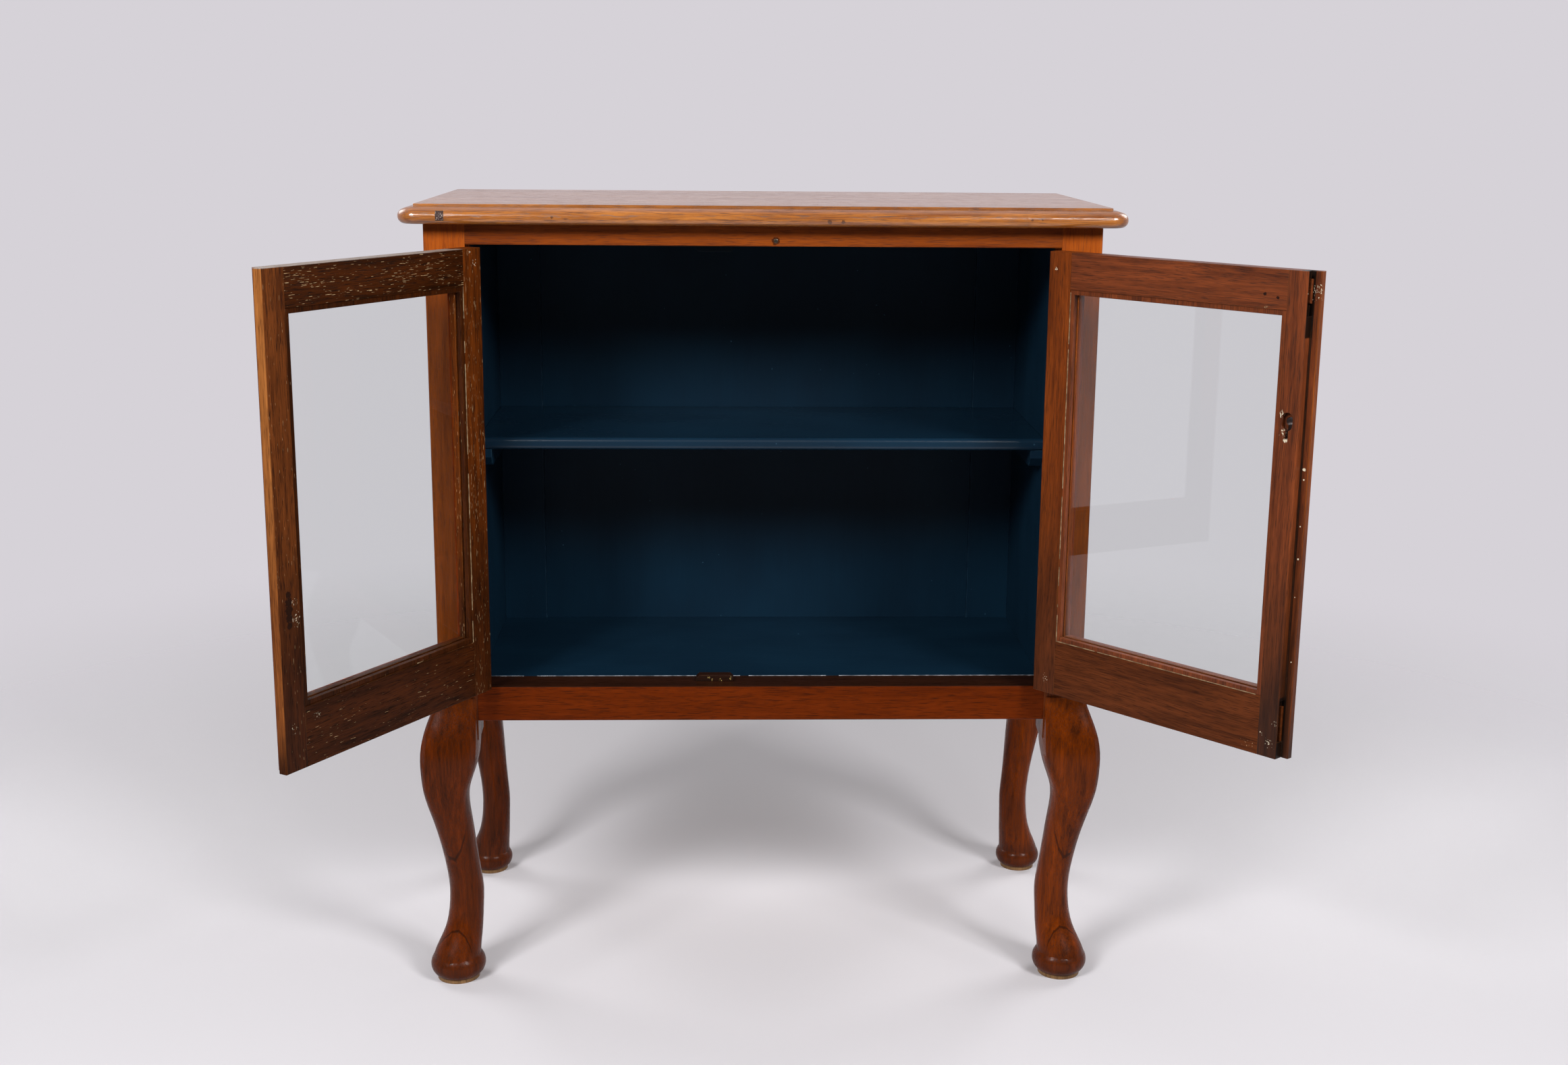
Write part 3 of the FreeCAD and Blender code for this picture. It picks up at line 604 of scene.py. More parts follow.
    def _ring(self) -> NodeTree:
        """One thin dark year ring that lies across a direction, cut open by a curved surface."""
        graph, given, result = self._open(
            "year_ring",
            {"Vector": "Vector", "Way": "Vector", "Depth": "Float", "Width": "Float"},
            {"Mask": "Float"},
        )
        wander = 0.8 * MM
        place = given.outputs["Vector"]
        sway = graph.math("MULTIPLY_ADD", graph.noise(place, RING_SWAY), 2.0 * wander, -wander)
        deep = graph.math("ADD", graph.vector("DOT_PRODUCT", place, given.outputs["Way"]), sway)
        away = graph.math("ABSOLUTE", graph.math("SUBTRACT", deep, given.outputs["Depth"]))
        share = graph.math("DIVIDE", away, given.outputs["Width"])
        mask = graph.math("SUBTRACT", 1.0, graph.ramp(share, 0.3, 1.0))
        return self._close(graph, result, {"Mask": mask})

    def _brush(self) -> NodeTree:
        """Tone and relief of paint brushed along X."""
        graph, given, result = self._open(
            "brushed_paint", {"Vector": "Vector"}, {"Tone": "Float", "Height": "Float", "Chip": "Float"}
        )
        brush_relief = 0.25
        place = given.outputs["Vector"]
        brush = graph.noise(place, BRUSH_MARKS)
        tone = graph.math("MULTIPLY", brush, BRUSH_MARKS.share)
        tone = graph.math("MULTIPLY_ADD", graph.noise(place, PAINT_CLOUD), PAINT_CLOUD.share, tone)
        outputs = {
            "Tone": graph.ramp(tone, 0.2, 0.8),
            "Height": graph.math("MULTIPLY_ADD", brush, brush_relief, graph.noise(place, PAINT_GRIT)),
            "Chip": graph.ramp(graph.noise(place, PAINT_CHIPS), 0.76, 0.79),
        }
        return self._close(graph, result, outputs)

    def _spot(self) -> NodeTree:
        """A spot with a wandering outline."""
        graph, given, result = self._open(
            "ragged_spot",
            {
                "Vector": "Vector",
                "Place": "Vector",
                "Radius": "Float",
                "Ragged": "Float",
                "Crumbs": "Float",
            },
            {"Mask": "Float"},
        )
        middle, wander = 0.5, 2.5
        crumb_edge, crumb_fade, soft = 0.58, 0.12, 0.04
        place = given.outputs["Vector"]
        away = graph.vector("DISTANCE", place, given.outputs["Place"])
        share = graph.math("DIVIDE", away, given.outputs["Radius"])
        sway = graph.math("SUBTRACT", graph.noise(place, SPOT_SWAY), middle)
        sway = graph.math("MULTIPLY", sway, wander)
        share = graph.math("MULTIPLY_ADD", sway, given.outputs["Ragged"], share)
        whole = graph.math("SUBTRACT", 1.0, graph.ramp(share, 0.75, 1.0))
        fade = graph.math("MULTIPLY", graph.ramp(share, 0.1, 1.0), crumb_fade)
        edge = graph.math("MULTIPLY", given.outputs["Crumbs"], graph.math("ADD", fade, crumb_edge))
        crumb = graph.ramp(graph.noise(place, SPOT_GRIT), edge, graph.math("ADD", edge, soft))
        return self._close(graph, result, {"Mask": graph.math("MULTIPLY", whole, crumb)})


def blank_material(name: str) -> tuple[Material, Graph, Node]:
    """A material with one Principled shader.

    Args:
        name: Name of the piece that it is for.

    Returns:
        The material, its graph and the shader node.
    """
    material = bpy.data.materials.new(name + "_finish")
    material.use_nodes = True
    return material, Graph(material.node_tree), material.node_tree.nodes["Principled BSDF"]


class FinishShop:
    """Makes the material of each piece from its finish and the shared effects."""

    figure_step = (0.73, 0.41, 0.57)

    def __init__(self, effects: EffectShop) -> None:
        """Keep the effects and start the count that gives each board its own figure."""
        self.effects = effects
        self.boards_cut = 0

    def _along(self, graph: Graph, grain: Vector) -> tuple[NodeSocket, NodeSocket]:
        """Plain places on the piece, and places turned so that the grain runs along X.

        Args:
            graph: Where the nodes go.
            grain: The way that the grain runs.

        Returns:
            The plain and the turned vector sockets.
        """
        place = graph.add("ShaderNodeTexCoord").outputs["Object"]
        mapping = graph.add("ShaderNodeMapping", vector_type="POINT")
        graph.feed(mapping.inputs["Vector"], place)
        mapping.inputs["Rotation"].default_value = grain.rotation_difference(X_WAY).to_euler()
        self.boards_cut += 1
        mapping.inputs["Location"].default_value = [step * self.boards_cut for step in self.figure_step]
        return place, mapping.outputs["Vector"]

    def _stained(self, graph: Graph, tint: Tint, grain: Node) -> NodeSocket:
        """The colour of one stain over a board's grain."""
        node = graph.group(
            self.effects.tones,
            tone=grain.outputs["Tone"],
            pore=grain.outputs["Pore"],
            light=srgb(tint.light),
            dark=srgb(tint.dark),
            pore_colour=srgb(tint.pore),
            pore_strength=tint.pores,
        )
        return node.outputs["Color"]

    @staticmethod
    def _past(graph: Graph, place: NodeSocket, *planes: Plane) -> NodeSocket:
        """How far a place is past every plane.

        Args:
            graph: Where the nodes go.
            place: The place.
            planes: The planes.

        Returns:
            The share, from 0 to 1.
        """
        shares = []
        for plane in planes:
            reach = graph.vector("DOT_PRODUCT", place, plane.way)
            shares.append(graph.ramp(reach, plane.start, plane.end))
        whole = shares[0]
        for share in shares[1:]:
            whole = graph.math("MULTIPLY", whole, share)
        return whole

    def _regions(
        self, graph: Graph, place: NodeSocket, grain: Node, regions: tuple[Region, ...], colour: NodeSocket
    ) -> NodeSocket:
        """Lay the tones of some regions over a colour.

        Args:
            graph: Where the nodes go.
            place: Places on the piece.
            grain: The board's grain.
            regions: The regions, first to last.
            colour: The colour under them.

        Returns:
            The colour with the tones.
        """
        for region in regions:
            there = self._past(graph, place, *region.planes)
            colour = graph.blend(there, colour, self._stained(graph, region.tint, grain))
        return colour

    def _ringed(
        self, graph: Graph, place: NodeSocket, ring: Ring, tint: Tint, colour: NodeSocket
    ) -> NodeSocket:
        """Draw a year ring over a colour.

        Args:
            graph: Where the nodes go.
            place: Places on the piece.
            ring: The ring.
            tint: The tones of the wood.
            colour: The colour under it.

        Returns:
            The colour with the ring.
        """
        plane = ring.plane
        node = graph.group(
            self.effects.ring, vector=place, way=plane.way, depth=plane.start, width=plane.end - plane.start
        )
        line = graph.math("MULTIPLY", node.outputs["Mask"], self._past(graph, place, ring.within))
        return graph.cover(colour, line, RING_COVER, tint.pore)

    def wood(self, board: Board) -> Material:
        """Stained wood with its grain, worn edges, flecks and marks.

        Args:
            board: What the board's surface shows.

        Returns:
            The material.
        """
        stain = board.stain
        material, graph, shader = blank_material(board.node)
        place, along = self._along(graph, board.grain)
        grain = graph.group(self.effects.grain, vector=along, contrast=stain.contrast)
        colour = self._stained(graph, stain, grain)
        if board.ring:
            colour = self._ringed(graph, place, board.ring, stain, colour)
        colour = self._regions(graph, place, grain, board.regions, colour)
        if board.flecks > 0:
            fleck = graph.group(self.effects.flecks, vector=along, amount=board.flecks)
            colour = graph.cover(colour, fleck.outputs["Mask"], FLECK_COVER, FLECK_COLOUR)
        colour = self._regions(graph, place, grain, board.polished, colour)
        edges = graph.group(self.effects.edges, vector=place, radius=WOOD_ARRIS)
        colour = graph.cover(colour, edges.outputs["Rub"], RUB_COVER, stain.rub)
        # Painted shade in inner corners
        colour = graph.cover(colour, edges.outputs["CornerShade"], CORNER_SHADE_COVER, CORNER_SHADE_COLOUR)
        for mark in board.marks:
            spot = graph.group(
                self.effects.spot,
                vector=place,
                place=mark.place,
                radius=mark.radius,
                ragged=mark.ragged,
                crumbs=mark.crumbs,
            )
            colour = graph.cover(colour, spot.outputs["Mask"], mark.strength, mark.colour)
        graph.feed(shader.inputs["Base Color"], colour)
        pore_dullness, tone_shine = 0.22, -0.06
        polish = graph.math("MULTIPLY_ADD", grain.outputs["Pore"], pore_dullness, stain.rough)
        polish = graph.math("MULTIPLY_ADD", grain.outputs["Tone"], tone_shine, polish)
        graph.feed(shader.inputs["Roughness"], polish)
        shader.inputs["Specular IOR Level"].default_value = stain.gloss
        shader.inputs["Coat Weight"].default_value = stain.coat
        shader.inputs["Coat Roughness"].default_value = COAT_ROUGH
        relief = graph.bump(grain.outputs["Height"], *WOOD_RELIEF, edges.outputs["Normal"])
        graph.feed(shader.inputs["Normal"], relief)
        return material

    def painted(self, name: str, paint: Paint, grain: Vector, bare: Bare | None = None) -> Material:
        """Blue paint brushed along a board, with bare wood past a plane where it isn't painted.

        Args:
            name: Name of the piece.
            paint: The paint.
            grain: The way that it was brushed.
            bare: Where the board was left unpainted.

        Returns:
            The material.
        """
        material, graph, shader = blank_material(name)
        place, along = self._along(graph, grain)
        brush = graph.group(self.effects.brush, vector=along)
        colour = graph.blend(brush.outputs["Tone"], srgb(paint.dark), srgb(paint.light))
        edges = graph.group(self.effects.edges, vector=place, radius=PAINT_ARRIS)
        colour = graph.cover(colour, edges.outputs["Rub"], PAINT_RUB_COVER, paint.worn)
        colour = graph.cover(colour, brush.outputs["Chip"], PAINT_CHIP_COVER, paint.worn)
        tone_shine = -0.08
        rough = graph.math("MULTIPLY_ADD", brush.outputs["Tone"], tone_shine, paint.rough)
        if bare:
            there = self._past(graph, place, bare.plane)
            wood = graph.group(self.effects.grain, vector=along, contrast=bare.stain.contrast)
            colour = graph.blend(there, colour, self._stained(graph, bare.stain, wood))
            rough = graph.math("MULTIPLY_ADD", there, bare.stain.rough - paint.rough, rough)
        graph.feed(shader.inputs["Base Color"], colour)
        graph.feed(shader.inputs["Roughness"], rough)
        shader.inputs["Specular IOR Level"].default_value = paint.gloss
        relief = graph.bump(brush.outputs["Height"], *PAINT_RELIEF, edges.outputs["Normal"])
        graph.feed(shader.inputs["Normal"], relief)
        return material

    def metal(self, name: str, metal: Metal) -> Material:
        """Aged metal, brighter where it is rubbed.

        Args:
            name: Name of the piece.
            metal: The metal.

        Returns:
            The material.
        """
        material, graph, shader = blank_material(name)
        place = graph.add("ShaderNodeTexCoord").outputs["Object"]
        clean = graph.ramp(graph.noise(place, TARNISH), 0.35, 0.7)
        edges = graph.group(self.effects.edges, vector=place, radius=METAL_ARRIS)
        worn = graph.math("MAXIMUM", graph.math("MULTIPLY", clean, TARNISH_COVER), edges.outputs["Rub"])
        worn_shine = -0.15
        graph.feed(shader.inputs["Base Color"], graph.blend(worn, srgb(metal.tarnish), srgb(metal.bright)))
        shader.inputs["Metallic"].default_value = 1.0
        graph.feed(shader.inputs["Roughness"], graph.math("MULTIPLY_ADD", worn, worn_shine, metal.rough))
        graph.feed(shader.inputs["Normal"], edges.outputs["Normal"])
        return material

    def pane(self, name: str, index: float) -> Material:
        """Clear old glass with a faint ripple, which lets the lamps through.

        Args:
            name: Name of the pane.
            index: Refractive index, which sets how much it mirrors.

        Returns:
            The material.
        """
        material, graph, shader = blank_material(name)
        shader.inputs["Base Color"].default_value = srgb(GLASS_COLOUR)
        shader.inputs["Roughness"].default_value = 0.0
        shader.inputs["IOR"].default_value = index
        shader.inputs["Transmission Weight"].default_value = 1.0
        place = graph.add("ShaderNodeTexCoord").outputs["Object"]
        graph.feed(shader.inputs["Normal"], graph.bump(graph.noise(place, GLASS_WAVE), *GLASS_RELIEF))
        clear = graph.add("ShaderNodeBsdfTransparent").outputs["BSDF"]
        shadow = graph.add("ShaderNodeLightPath").outputs["Is Shadow Ray"]
        output = material.node_tree.nodes["Material Output"]
        graph.feed(output.inputs["Surface"], graph.mix(shadow, shader.outputs["BSDF"], clear))
        return material

    def putty(self, colour: str = PUTTY_COLOUR, dirt: str = PUTTY_DIRT) -> Material:
        """Old putty, dirty in places, or a pale line with darker patches.

        Args:
            colour: Its clean colour.
            dirt: Its colour where it is dirty.

        Returns:
            The material.
        """
        material, graph, shader = blank_material("putty")
        place = graph.add("ShaderNodeTexCoord").outputs["Object"]
        share = graph.ramp(graph.noise(place, PUTTY_PATCH), 0.32, 0.66)
        graph.feed(shader.inputs["Base Color"], graph.blend(share, srgb(colour), srgb(dirt)))
        dirt_dullness, rough = 0.1, 0.7
        graph.feed(shader.inputs["Roughness"], graph.math("MULTIPLY_ADD", share, dirt_dullness, rough))
        return material


# Pieces


@dataclass
class Workbench:
    """What every sub-assembly needs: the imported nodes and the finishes."""

    nodes: dict[str, Object]
    finishes: FinishShop
    sharp_angle: float = math.radians(38.0)
    merge_gap: float = 1e-6

    def span(self, node: str, origin: Vector, way: Vector) -> Range:
        """How far a node reaches along a direction.

        Args:
            node: Name of the node.
            origin: Where the measure starts.
            way: Unit direction.

        Returns:
            The least and the greatest distance.
        """
        reach = [(vertex.co - origin).dot(way) for vertex in self.nodes[node].data.vertices]
        return min(reach), max(reach)

    def smooth_copy(self, node: str, body: Body, slot: Slot) -> Object:
        """A merged copy of a node whose curved faces are shaded smooth, which replaces the node.

        Args:
            node: Name of the node.
            body: The body that it rides on.
            slot: Its material slot.

        Returns:
            The new piece.
        """
        mesh = bpy.data.meshes.new(node + "_smooth")
        shell = bmesh.new()
        shell.from_mesh(self.nodes[node].data)
        bmesh.ops.remove_doubles(shell, verts=shell.verts, dist=self.merge_gap)
        for face in shell.faces:
            face.smooth = True
        for edge in shell.edges:
            edge.smooth = edge.calc_face_angle(0.0) < self.sharp_angle
        shell.to_mesh(mesh)
        shell.free()
        piece = bpy.data.objects.new(node + "_smooth", self.weigh_normals(mesh))
        return self.place(piece, body, slot, node)

    @staticmethod
    def weigh_normals(mesh: Mesh) -> Mesh:
        """Shade a mesh so that its wide faces stay flat beside rounded edges.

        Args:
            mesh: A merged mesh with its sharp edges marked.

        Returns:
            A new mesh with its own corner normals.
        """
        holder = bpy.data.objects.new(mesh.name + "_holder", mesh)
        bpy.context.scene.collection.objects.link(holder)
        modifier = holder.modifiers.new("normals", "WEIGHTED_NORMAL")
        modifier.keep_sharp = True
        graph = bpy.context.evaluated_depsgraph_get()
        weighed = bpy.data.meshes.new_from_object(holder.evaluated_get(graph))
        holder.modifiers.remove(modifier)
        bpy.data.objects.remove(holder)
        return weighed

    @staticmethod
    def place(piece: Object, body: Body, slot: Slot, *stands_for: str) -> Object:
        """Put a finished piece in the scene on its body.

        Args:
            piece: The piece, at the origin with its place in its mesh.
            body: The body that it rides on.
            slot: Its material slot; not used.
            stands_for: Nodes that it replaces.

        Returns:
            The piece.
        """
        bpy.context.scene.collection.objects.link(piece)
        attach(piece, body.value)
        if stands_for:
            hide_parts(*stands_for)
        LOG.info("%s rides on %s", piece.name, body.value)
        return piece

    @staticmethod
    def dress(piece: Object, material: Material) -> None:
        """Give a piece one material."""
        piece.data.materials.clear()
        piece.data.materials.append(material)

    def dress_board(self, board: Board, body: Body) -> None:
        """Give a wooden node its finish, on a smooth copy where it is curved."""
        piece = self.smooth_copy(board.node, body, Slot.WOOD) if board.smooth else self.nodes[board.node]
        self.dress(piece, self.finishes.wood(board))
        LOG.info("%s is stained", piece.name)


@dataclass
class CaseLooks:
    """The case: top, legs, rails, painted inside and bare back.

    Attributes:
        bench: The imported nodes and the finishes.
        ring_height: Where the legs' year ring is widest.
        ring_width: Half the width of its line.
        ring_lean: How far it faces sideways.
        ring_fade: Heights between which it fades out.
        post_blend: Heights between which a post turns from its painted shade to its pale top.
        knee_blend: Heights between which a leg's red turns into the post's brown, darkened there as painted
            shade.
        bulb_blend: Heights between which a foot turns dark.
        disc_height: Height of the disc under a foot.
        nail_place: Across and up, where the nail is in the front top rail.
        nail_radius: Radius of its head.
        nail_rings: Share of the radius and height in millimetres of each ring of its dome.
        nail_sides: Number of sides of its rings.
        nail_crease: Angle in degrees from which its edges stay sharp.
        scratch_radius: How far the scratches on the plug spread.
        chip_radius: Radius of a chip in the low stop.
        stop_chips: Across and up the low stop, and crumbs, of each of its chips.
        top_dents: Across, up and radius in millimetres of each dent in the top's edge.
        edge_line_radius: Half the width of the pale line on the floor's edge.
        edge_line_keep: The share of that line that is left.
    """

    bench: Workbench
    ring_height: float = 0.172
    ring_width: float = 0.0009
    ring_lean: float = 0.3
    ring_fade: Range = (0.235, 0.195)
    post_blend: Range = (0.88, 0.96)
    knee_blend: Range = (0.37, 0.43)
    bulb_blend: Range = (0.052, 0.03)
    disc_height: float = 0.006
    nail_place: Range = (0.0134, 0.9869)
    nail_radius: float = 0.0028
    nail_rings: tuple[Range, ...] = ((1.0, -0.2), (1.0, 0.15), (0.72, 0.4), (0.3, 0.5))
    nail_sides: int = 20
    nail_crease: float = 50.0
    scratch_radius: float = 0.009
    chip_radius: float = 0.0032
    stop_chips: tuple[tuple[float, float, float], ...] = (
        (0.12, 0.6, 0.98),
        (0.33, 0.7, 0.93),
        (0.45, 0.25, 0.97),
        (0.66, 0.15, 0.93),
        (0.9, 0.55, 0.83),
    )
    top_dents: tuple[tuple[float, float, float], ...] = (
        (0.0783, 1.0121, 3.2),
        (0.0948, 1.0122, 2.8),
        (0.3266, 1.016, 2.0),
        (0.3391, 1.016, 1.6),
        (-0.2598, 1.0156, 2.2),
    )
    edge_line_radius: float = 0.00045
    edge_line_keep: float = 0.8

    def build(self) -> None:
        """Dress every node of the case and add its nail."""
        for board in self._boards():
            self.bench.dress_board(board, Body.CASE)
        self._paint_inside()
        self._nail()

    def _boards(self) -> list[Board]:
        """Every stained or bare wooden node of the case."""
        boards = [self._top(), self._plug()]
        boards += [self._leg(row, word) for row in ("front", "rear") for word in SIDES]
        boards += self._front_rails()
        for word in SIDES:
            boards.append(Board("side_top_rail_" + word, Y_WAY, TOP_RAIL_STAIN, smooth=True))
            boards.append(Board("side_bottom_rail_" + word, Y_WAY, RAIL_STAIN, smooth=True))
            boards.append(Board("floor_bearer_" + word, Y_WAY, BARE_WOOD))
        boards.append(Board("back_top_rail", X_WAY, BARE_WOOD, smooth=True))
        boards.append(Board("back_bottom_rail", X_WAY, BARE_WOOD, smooth=True))
        boards.append(Board("top_corner_blocks", X_WAY, BARE_WOOD))
        boards.append(self._low_stop())
        return boards

    def _plug(self) -> Board:
        """The square plug in the top's edge, with pale scratches."""
        low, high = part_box("top_edge_plug")
        middle = Vector(((low.x + high.x) / 2, low.y, (low.z + high.z) / 2))
        scratches = Mark(middle, self.scratch_radius, SCRATCH_COLOUR, ragged=0.3, strength=0.85, crumbs=0.94)
        return Board("top_edge_plug", Y_WAY, PLUG_STAIN, marks=(scratches,), smooth=True)

    def _low_stop(self) -> Board:
        """The chipped stop on the case's floor."""
        low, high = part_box("door_stop_bottom")
        chips = []
        for across, up, crumbs in self.stop_chips:
            place = Vector((low.x + across * (high.x - low.x), low.y, low.z + up * (high.z - low.z)))
            chips.append(Mark(place, self.chip_radius, CHIP_COLOUR, strength=0.85, crumbs=crumbs))
        return Board("door_stop_bottom", X_WAY, STOP_STAIN, marks=tuple(chips))

    def _top(self) -> Board:
        """The top board, with its dents along the moulded edge."""
        low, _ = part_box("top_board")
        nose = low.y + 1.0 * MM
        dents = tuple(
            Mark(Vector((x, nose, z)), radius * MM, DENT_COLOUR, strength=0.75)
            for x, z, radius in self.top_dents
        )
        under = Region(BARE_WOOD, (Plane.below((low.z + 0.5 * MM, low.z)),))
        return Board("top_board", X_WAY, TOP_STAIN, regions=(under,), marks=dents, smooth=True)

    def _leg(self, row: str, word: str) -> Board:
        """A leg in its red-brown stain, with its post darker below the top as painted shade, and its foot
        darker.

        Args:
            row: Front or rear.
            word: Left or right.

        Returns:
            The leg's looks.
        """
        node = "leg_%s_%s" % (row, word)
        disc_edge = (self.disc_height + 0.3 * MM, self.disc_height - 0.3 * MM)
        regions = (
            # The post below its top takes painted shade
            Region(SHADED_POST_TINT, (Plane.above(self.knee_blend),)),
            Region(POST_TINT, (Plane.above(self.post_blend),)),
            Region(FOOT_TINT, (Plane.below(self.bulb_blend),)),
            Region(DISC_TINT, (Plane.below(disc_edge),)),
        )
        way = Vector((self.ring_lean * SIDES[word], -1.0 if row == "front" else 1.0, 0.0)).normalized()
        depth = self._reach(node, way, self.ring_height)
        ring = Ring(Plane(way, depth, depth + self.ring_width), Plane.below(self.ring_fade))
        # Painted light and shade: the left legs darker, the right legs lighter
        stain = SHADED_LEFT_LEG_STAIN if word == "left" else LIT_RIGHT_LEG_STAIN
        return Board(node, Z_WAY, stain, regions=regions, ring=ring, smooth=True)

    def _reach(self, node: str, way: Vector, height: float) -> float:
        """How far a node reaches along a direction at one height.

        Args:
            node: The node.
            way: The direction.
            height: The height.

        Returns:
            The furthest distance from the origin along the direction.
        """
        mesh = self.bench.nodes[node].data
        reach = -math.inf
        for edge in mesh.edges:
            first, second = (mesh.vertices[index].co for index in edge.vertices)
            if (first.z - height) * (second.z - height) < 0:
                share = (height - first.z) / (second.z - first.z)
                reach = max(reach, first.lerp(second, share).dot(way))
        return reach

    def _front_rails(self) -> list[Board]:
        """The two front rails: a rust stain round the nail, and painted shade on the bottom rail's top
        ledge, which the doors hide.
        """
        x, z = self.nail_place
        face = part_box("front_top_rail")[0].y
        rust = Mark(Vector((x, face, z)), 2.0 * self.nail_radius, RUST_COLOUR, ragged=0.4, strength=0.8)
        top_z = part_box("front_bottom_rail")[1].z
        ledge = Region(SHADE_TINT, (Plane.above((top_z - 1.2 * MM, top_z - 0.4 * MM)),))
        return [
            Board("front_top_rail", X_WAY, TOP_RAIL_STAIN, marks=(rust,), smooth=True),
            Board("front_bottom_rail", X_WAY, RAIL_STAIN, regions=(ledge,), smooth=True),
        ]

    def _nail(self) -> None:
        """The domed head of a nail in the front top rail."""
        x, z = self.nail_place
        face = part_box("front_top_rail")[0].y
        shell = bmesh.new()
        rings = []
        for share, proud in self.nail_rings:
            radius = share * self.nail_radius
            circle = bmesh.ops.create_circle(shell, segments=self.nail_sides, radius=radius)["verts"]
            turn = Matrix.Translation((x, face - proud * MM, z)) @ Matrix.Rotation(math.pi / 2, 4, "X")
            bmesh.ops.transform(shell, matrix=turn, verts=circle)
            rings.append([edge for edge in shell.edges if all(vertex in circle for vertex in edge.verts)])
        for first, second in zip(rings, rings[1:]):
            bmesh.ops.bridge_loops(shell, edges=first + second)
        for ring in (rings[0], rings[-1]):
            bmesh.ops.contextual_create(shell, geom=ring)
        bmesh.ops.recalc_face_normals(shell, faces=shell.faces)
        mesh = bpy.data.meshes.new("rail_nail")
        shell.to_mesh(mesh)
        shell.free()
        mesh.shade_smooth()
        mesh.set_sharp_from_angle(angle=math.radians(self.nail_crease))
        piece = self.bench.place(bpy.data.objects.new("rail_nail", mesh), Body.CASE, Slot.BRASS)
        self.bench.dress(piece, self.bench.finishes.metal("rail_nail", NAIL_METAL))

    def _paint_inside(self) -> None:
        """The blue inside: panels, back, floor, shelf and its bearers."""
        bench = self.bench
        for word, side in SIDES.items():
            panel = "side_panel_" + word
            outer = max(abs(edge) for edge in bench.span(panel, Vector(), X_WAY))
            outside = Plane(side * X_WAY, outer - 6.0 * MM, outer - 5.0 * MM)
            self._paint(panel, Z_WAY, Bare(RAIL_STAIN, outside))
            self._paint("back_stile_" + word, Z_WAY, self._bare_back("back_stile_" + word))
            self._paint("shelf_bearer_" + word, Y_WAY)
        self._paint("back_panel", Z_WAY, self._bare_back("back_panel"))
        low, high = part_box("bottom_board")
        under = Plane.below((high.z - 4.0 * MM, high.z - 5.0 * MM))
        self._paint("bottom_board", X_WAY, Bare(BARE_WOOD, under))
        self._pale_edge_line(low, high)
        # The top stop takes painted shade
        self._paint("door_stop_top", X_WAY, paint=STOP_SHADE_PAINT)
        shelf = bench.smooth_copy("shelf", Body.CASE, Slot.PAINT)
        bench.dress(shelf, bench.finishes.painted("shelf", SHELF_PAINT, X_WAY))

    def _pale_edge_line(self, low: Vector, high: Vector) -> None:
        """A thin pale line along the front edge of the floor.

        Args:
            low: Lowest corner of the floor.
            high: Highest corner of the floor.
        """
        end_gap = 4.0 * MM
        edge = low.y + 0.4 * MM, high.z - 0.15 * MM
        points = [Vector((x, *edge)) for x in (low.x + end_gap, high.x - end_gap)]
        edge_finish = self.bench.finishes.putty(PALE_EDGE_COLOUR, PALE_EDGE_DARK)
        mesh = PuttyLine(self.edge_line_radius).mesh("floor_edge_wear", points, [self.edge_line_keep] * 2, edge_finish)
        self.bench.place(bpy.data.objects.new("floor_edge_wear", mesh), Body.CASE, Slot.PAINT)

    @staticmethod
    def _bare_back(node: str) -> Bare:
        """The unpainted rear of a back board."""
        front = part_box(node)[0].y
        return Bare(BARE_WOOD, Plane(Y_WAY, front + 6.0 * MM, front + 7.0 * MM))

    def _paint(
        self, node: str, grain: Vector, bare: Bare | None = None, paint: Paint = INTERIOR_PAINT
    ) -> None:
        """Paint one node.

        Args:
            node: The node.
            grain: The way that it was brushed.
            bare: Where it was left unpainted.
            paint: The paint.
        """
        self.bench.dress(self.bench.nodes[node], self.bench.finishes.painted(node, paint, grain, bare))
        LOG.info("%s is painted", node)


@dataclass(frozen=True)
class Spot:
    """A spot on a door's inner face.

    Attributes:
        along: How far it is from the hinge pin.
        z: How high it is.
        radius: Its size in millimetres.
        crumbs: From 0, a whole spot, to 1, a few crumbs within it.
        colour: Its colour.
    """

    along: float
    z: float
    radius: float
    crumbs: float
    colour: str = CRUMB_COLOUR


@dataclass(frozen=True)
class DoorFinish:
    """How one door is finished.

    Attributes:
        rail: Stain of the top rail and the beads.
        stile: Stain of the meeting stile.
        hinge: Stain of the hinge stile.
        low: Stain of the bottom rail and of the stiles' lower parts, darker than the stiles above as painted
            shade towards the floor.
        foot: Tones of the meeting stile's foot.
        edge: Tones of the free edge.
        edge_low: Tones of the free edge's lower part.
        glass_index: Refractive index of the pane.
        putty_keep: The share of the putty that is left on each side of the pane.
        spots: Spots on the inner face of each frame piece.
        flecks: How many flecks of filler show.
        dusty: Whether dust lies on the top edge.
        lipped: Whether the meeting stile has the cover lip and the bolt seats.
    """

    rail: Stain
    stile: Stain
    hinge: Stain
    low: Stain
    foot: Tint
    edge: Tint
    edge_low: Tint
    glass_index: float
    putty_keep: dict[str, float]
    spots: dict[str, tuple[Spot, ...]]
    flecks: float = 0.0
    dusty: bool = False
    lipped: bool = False


# How many of the door's flecks each frame piece has
FLECK_SHARES = {
    "hinge_stile": 1.0,
    "meeting_stile": 0.7,
    "door_top_rail": 1.03,
    "door_bottom_rail": 0.75,
    "glazing_beads": 0.6,
}

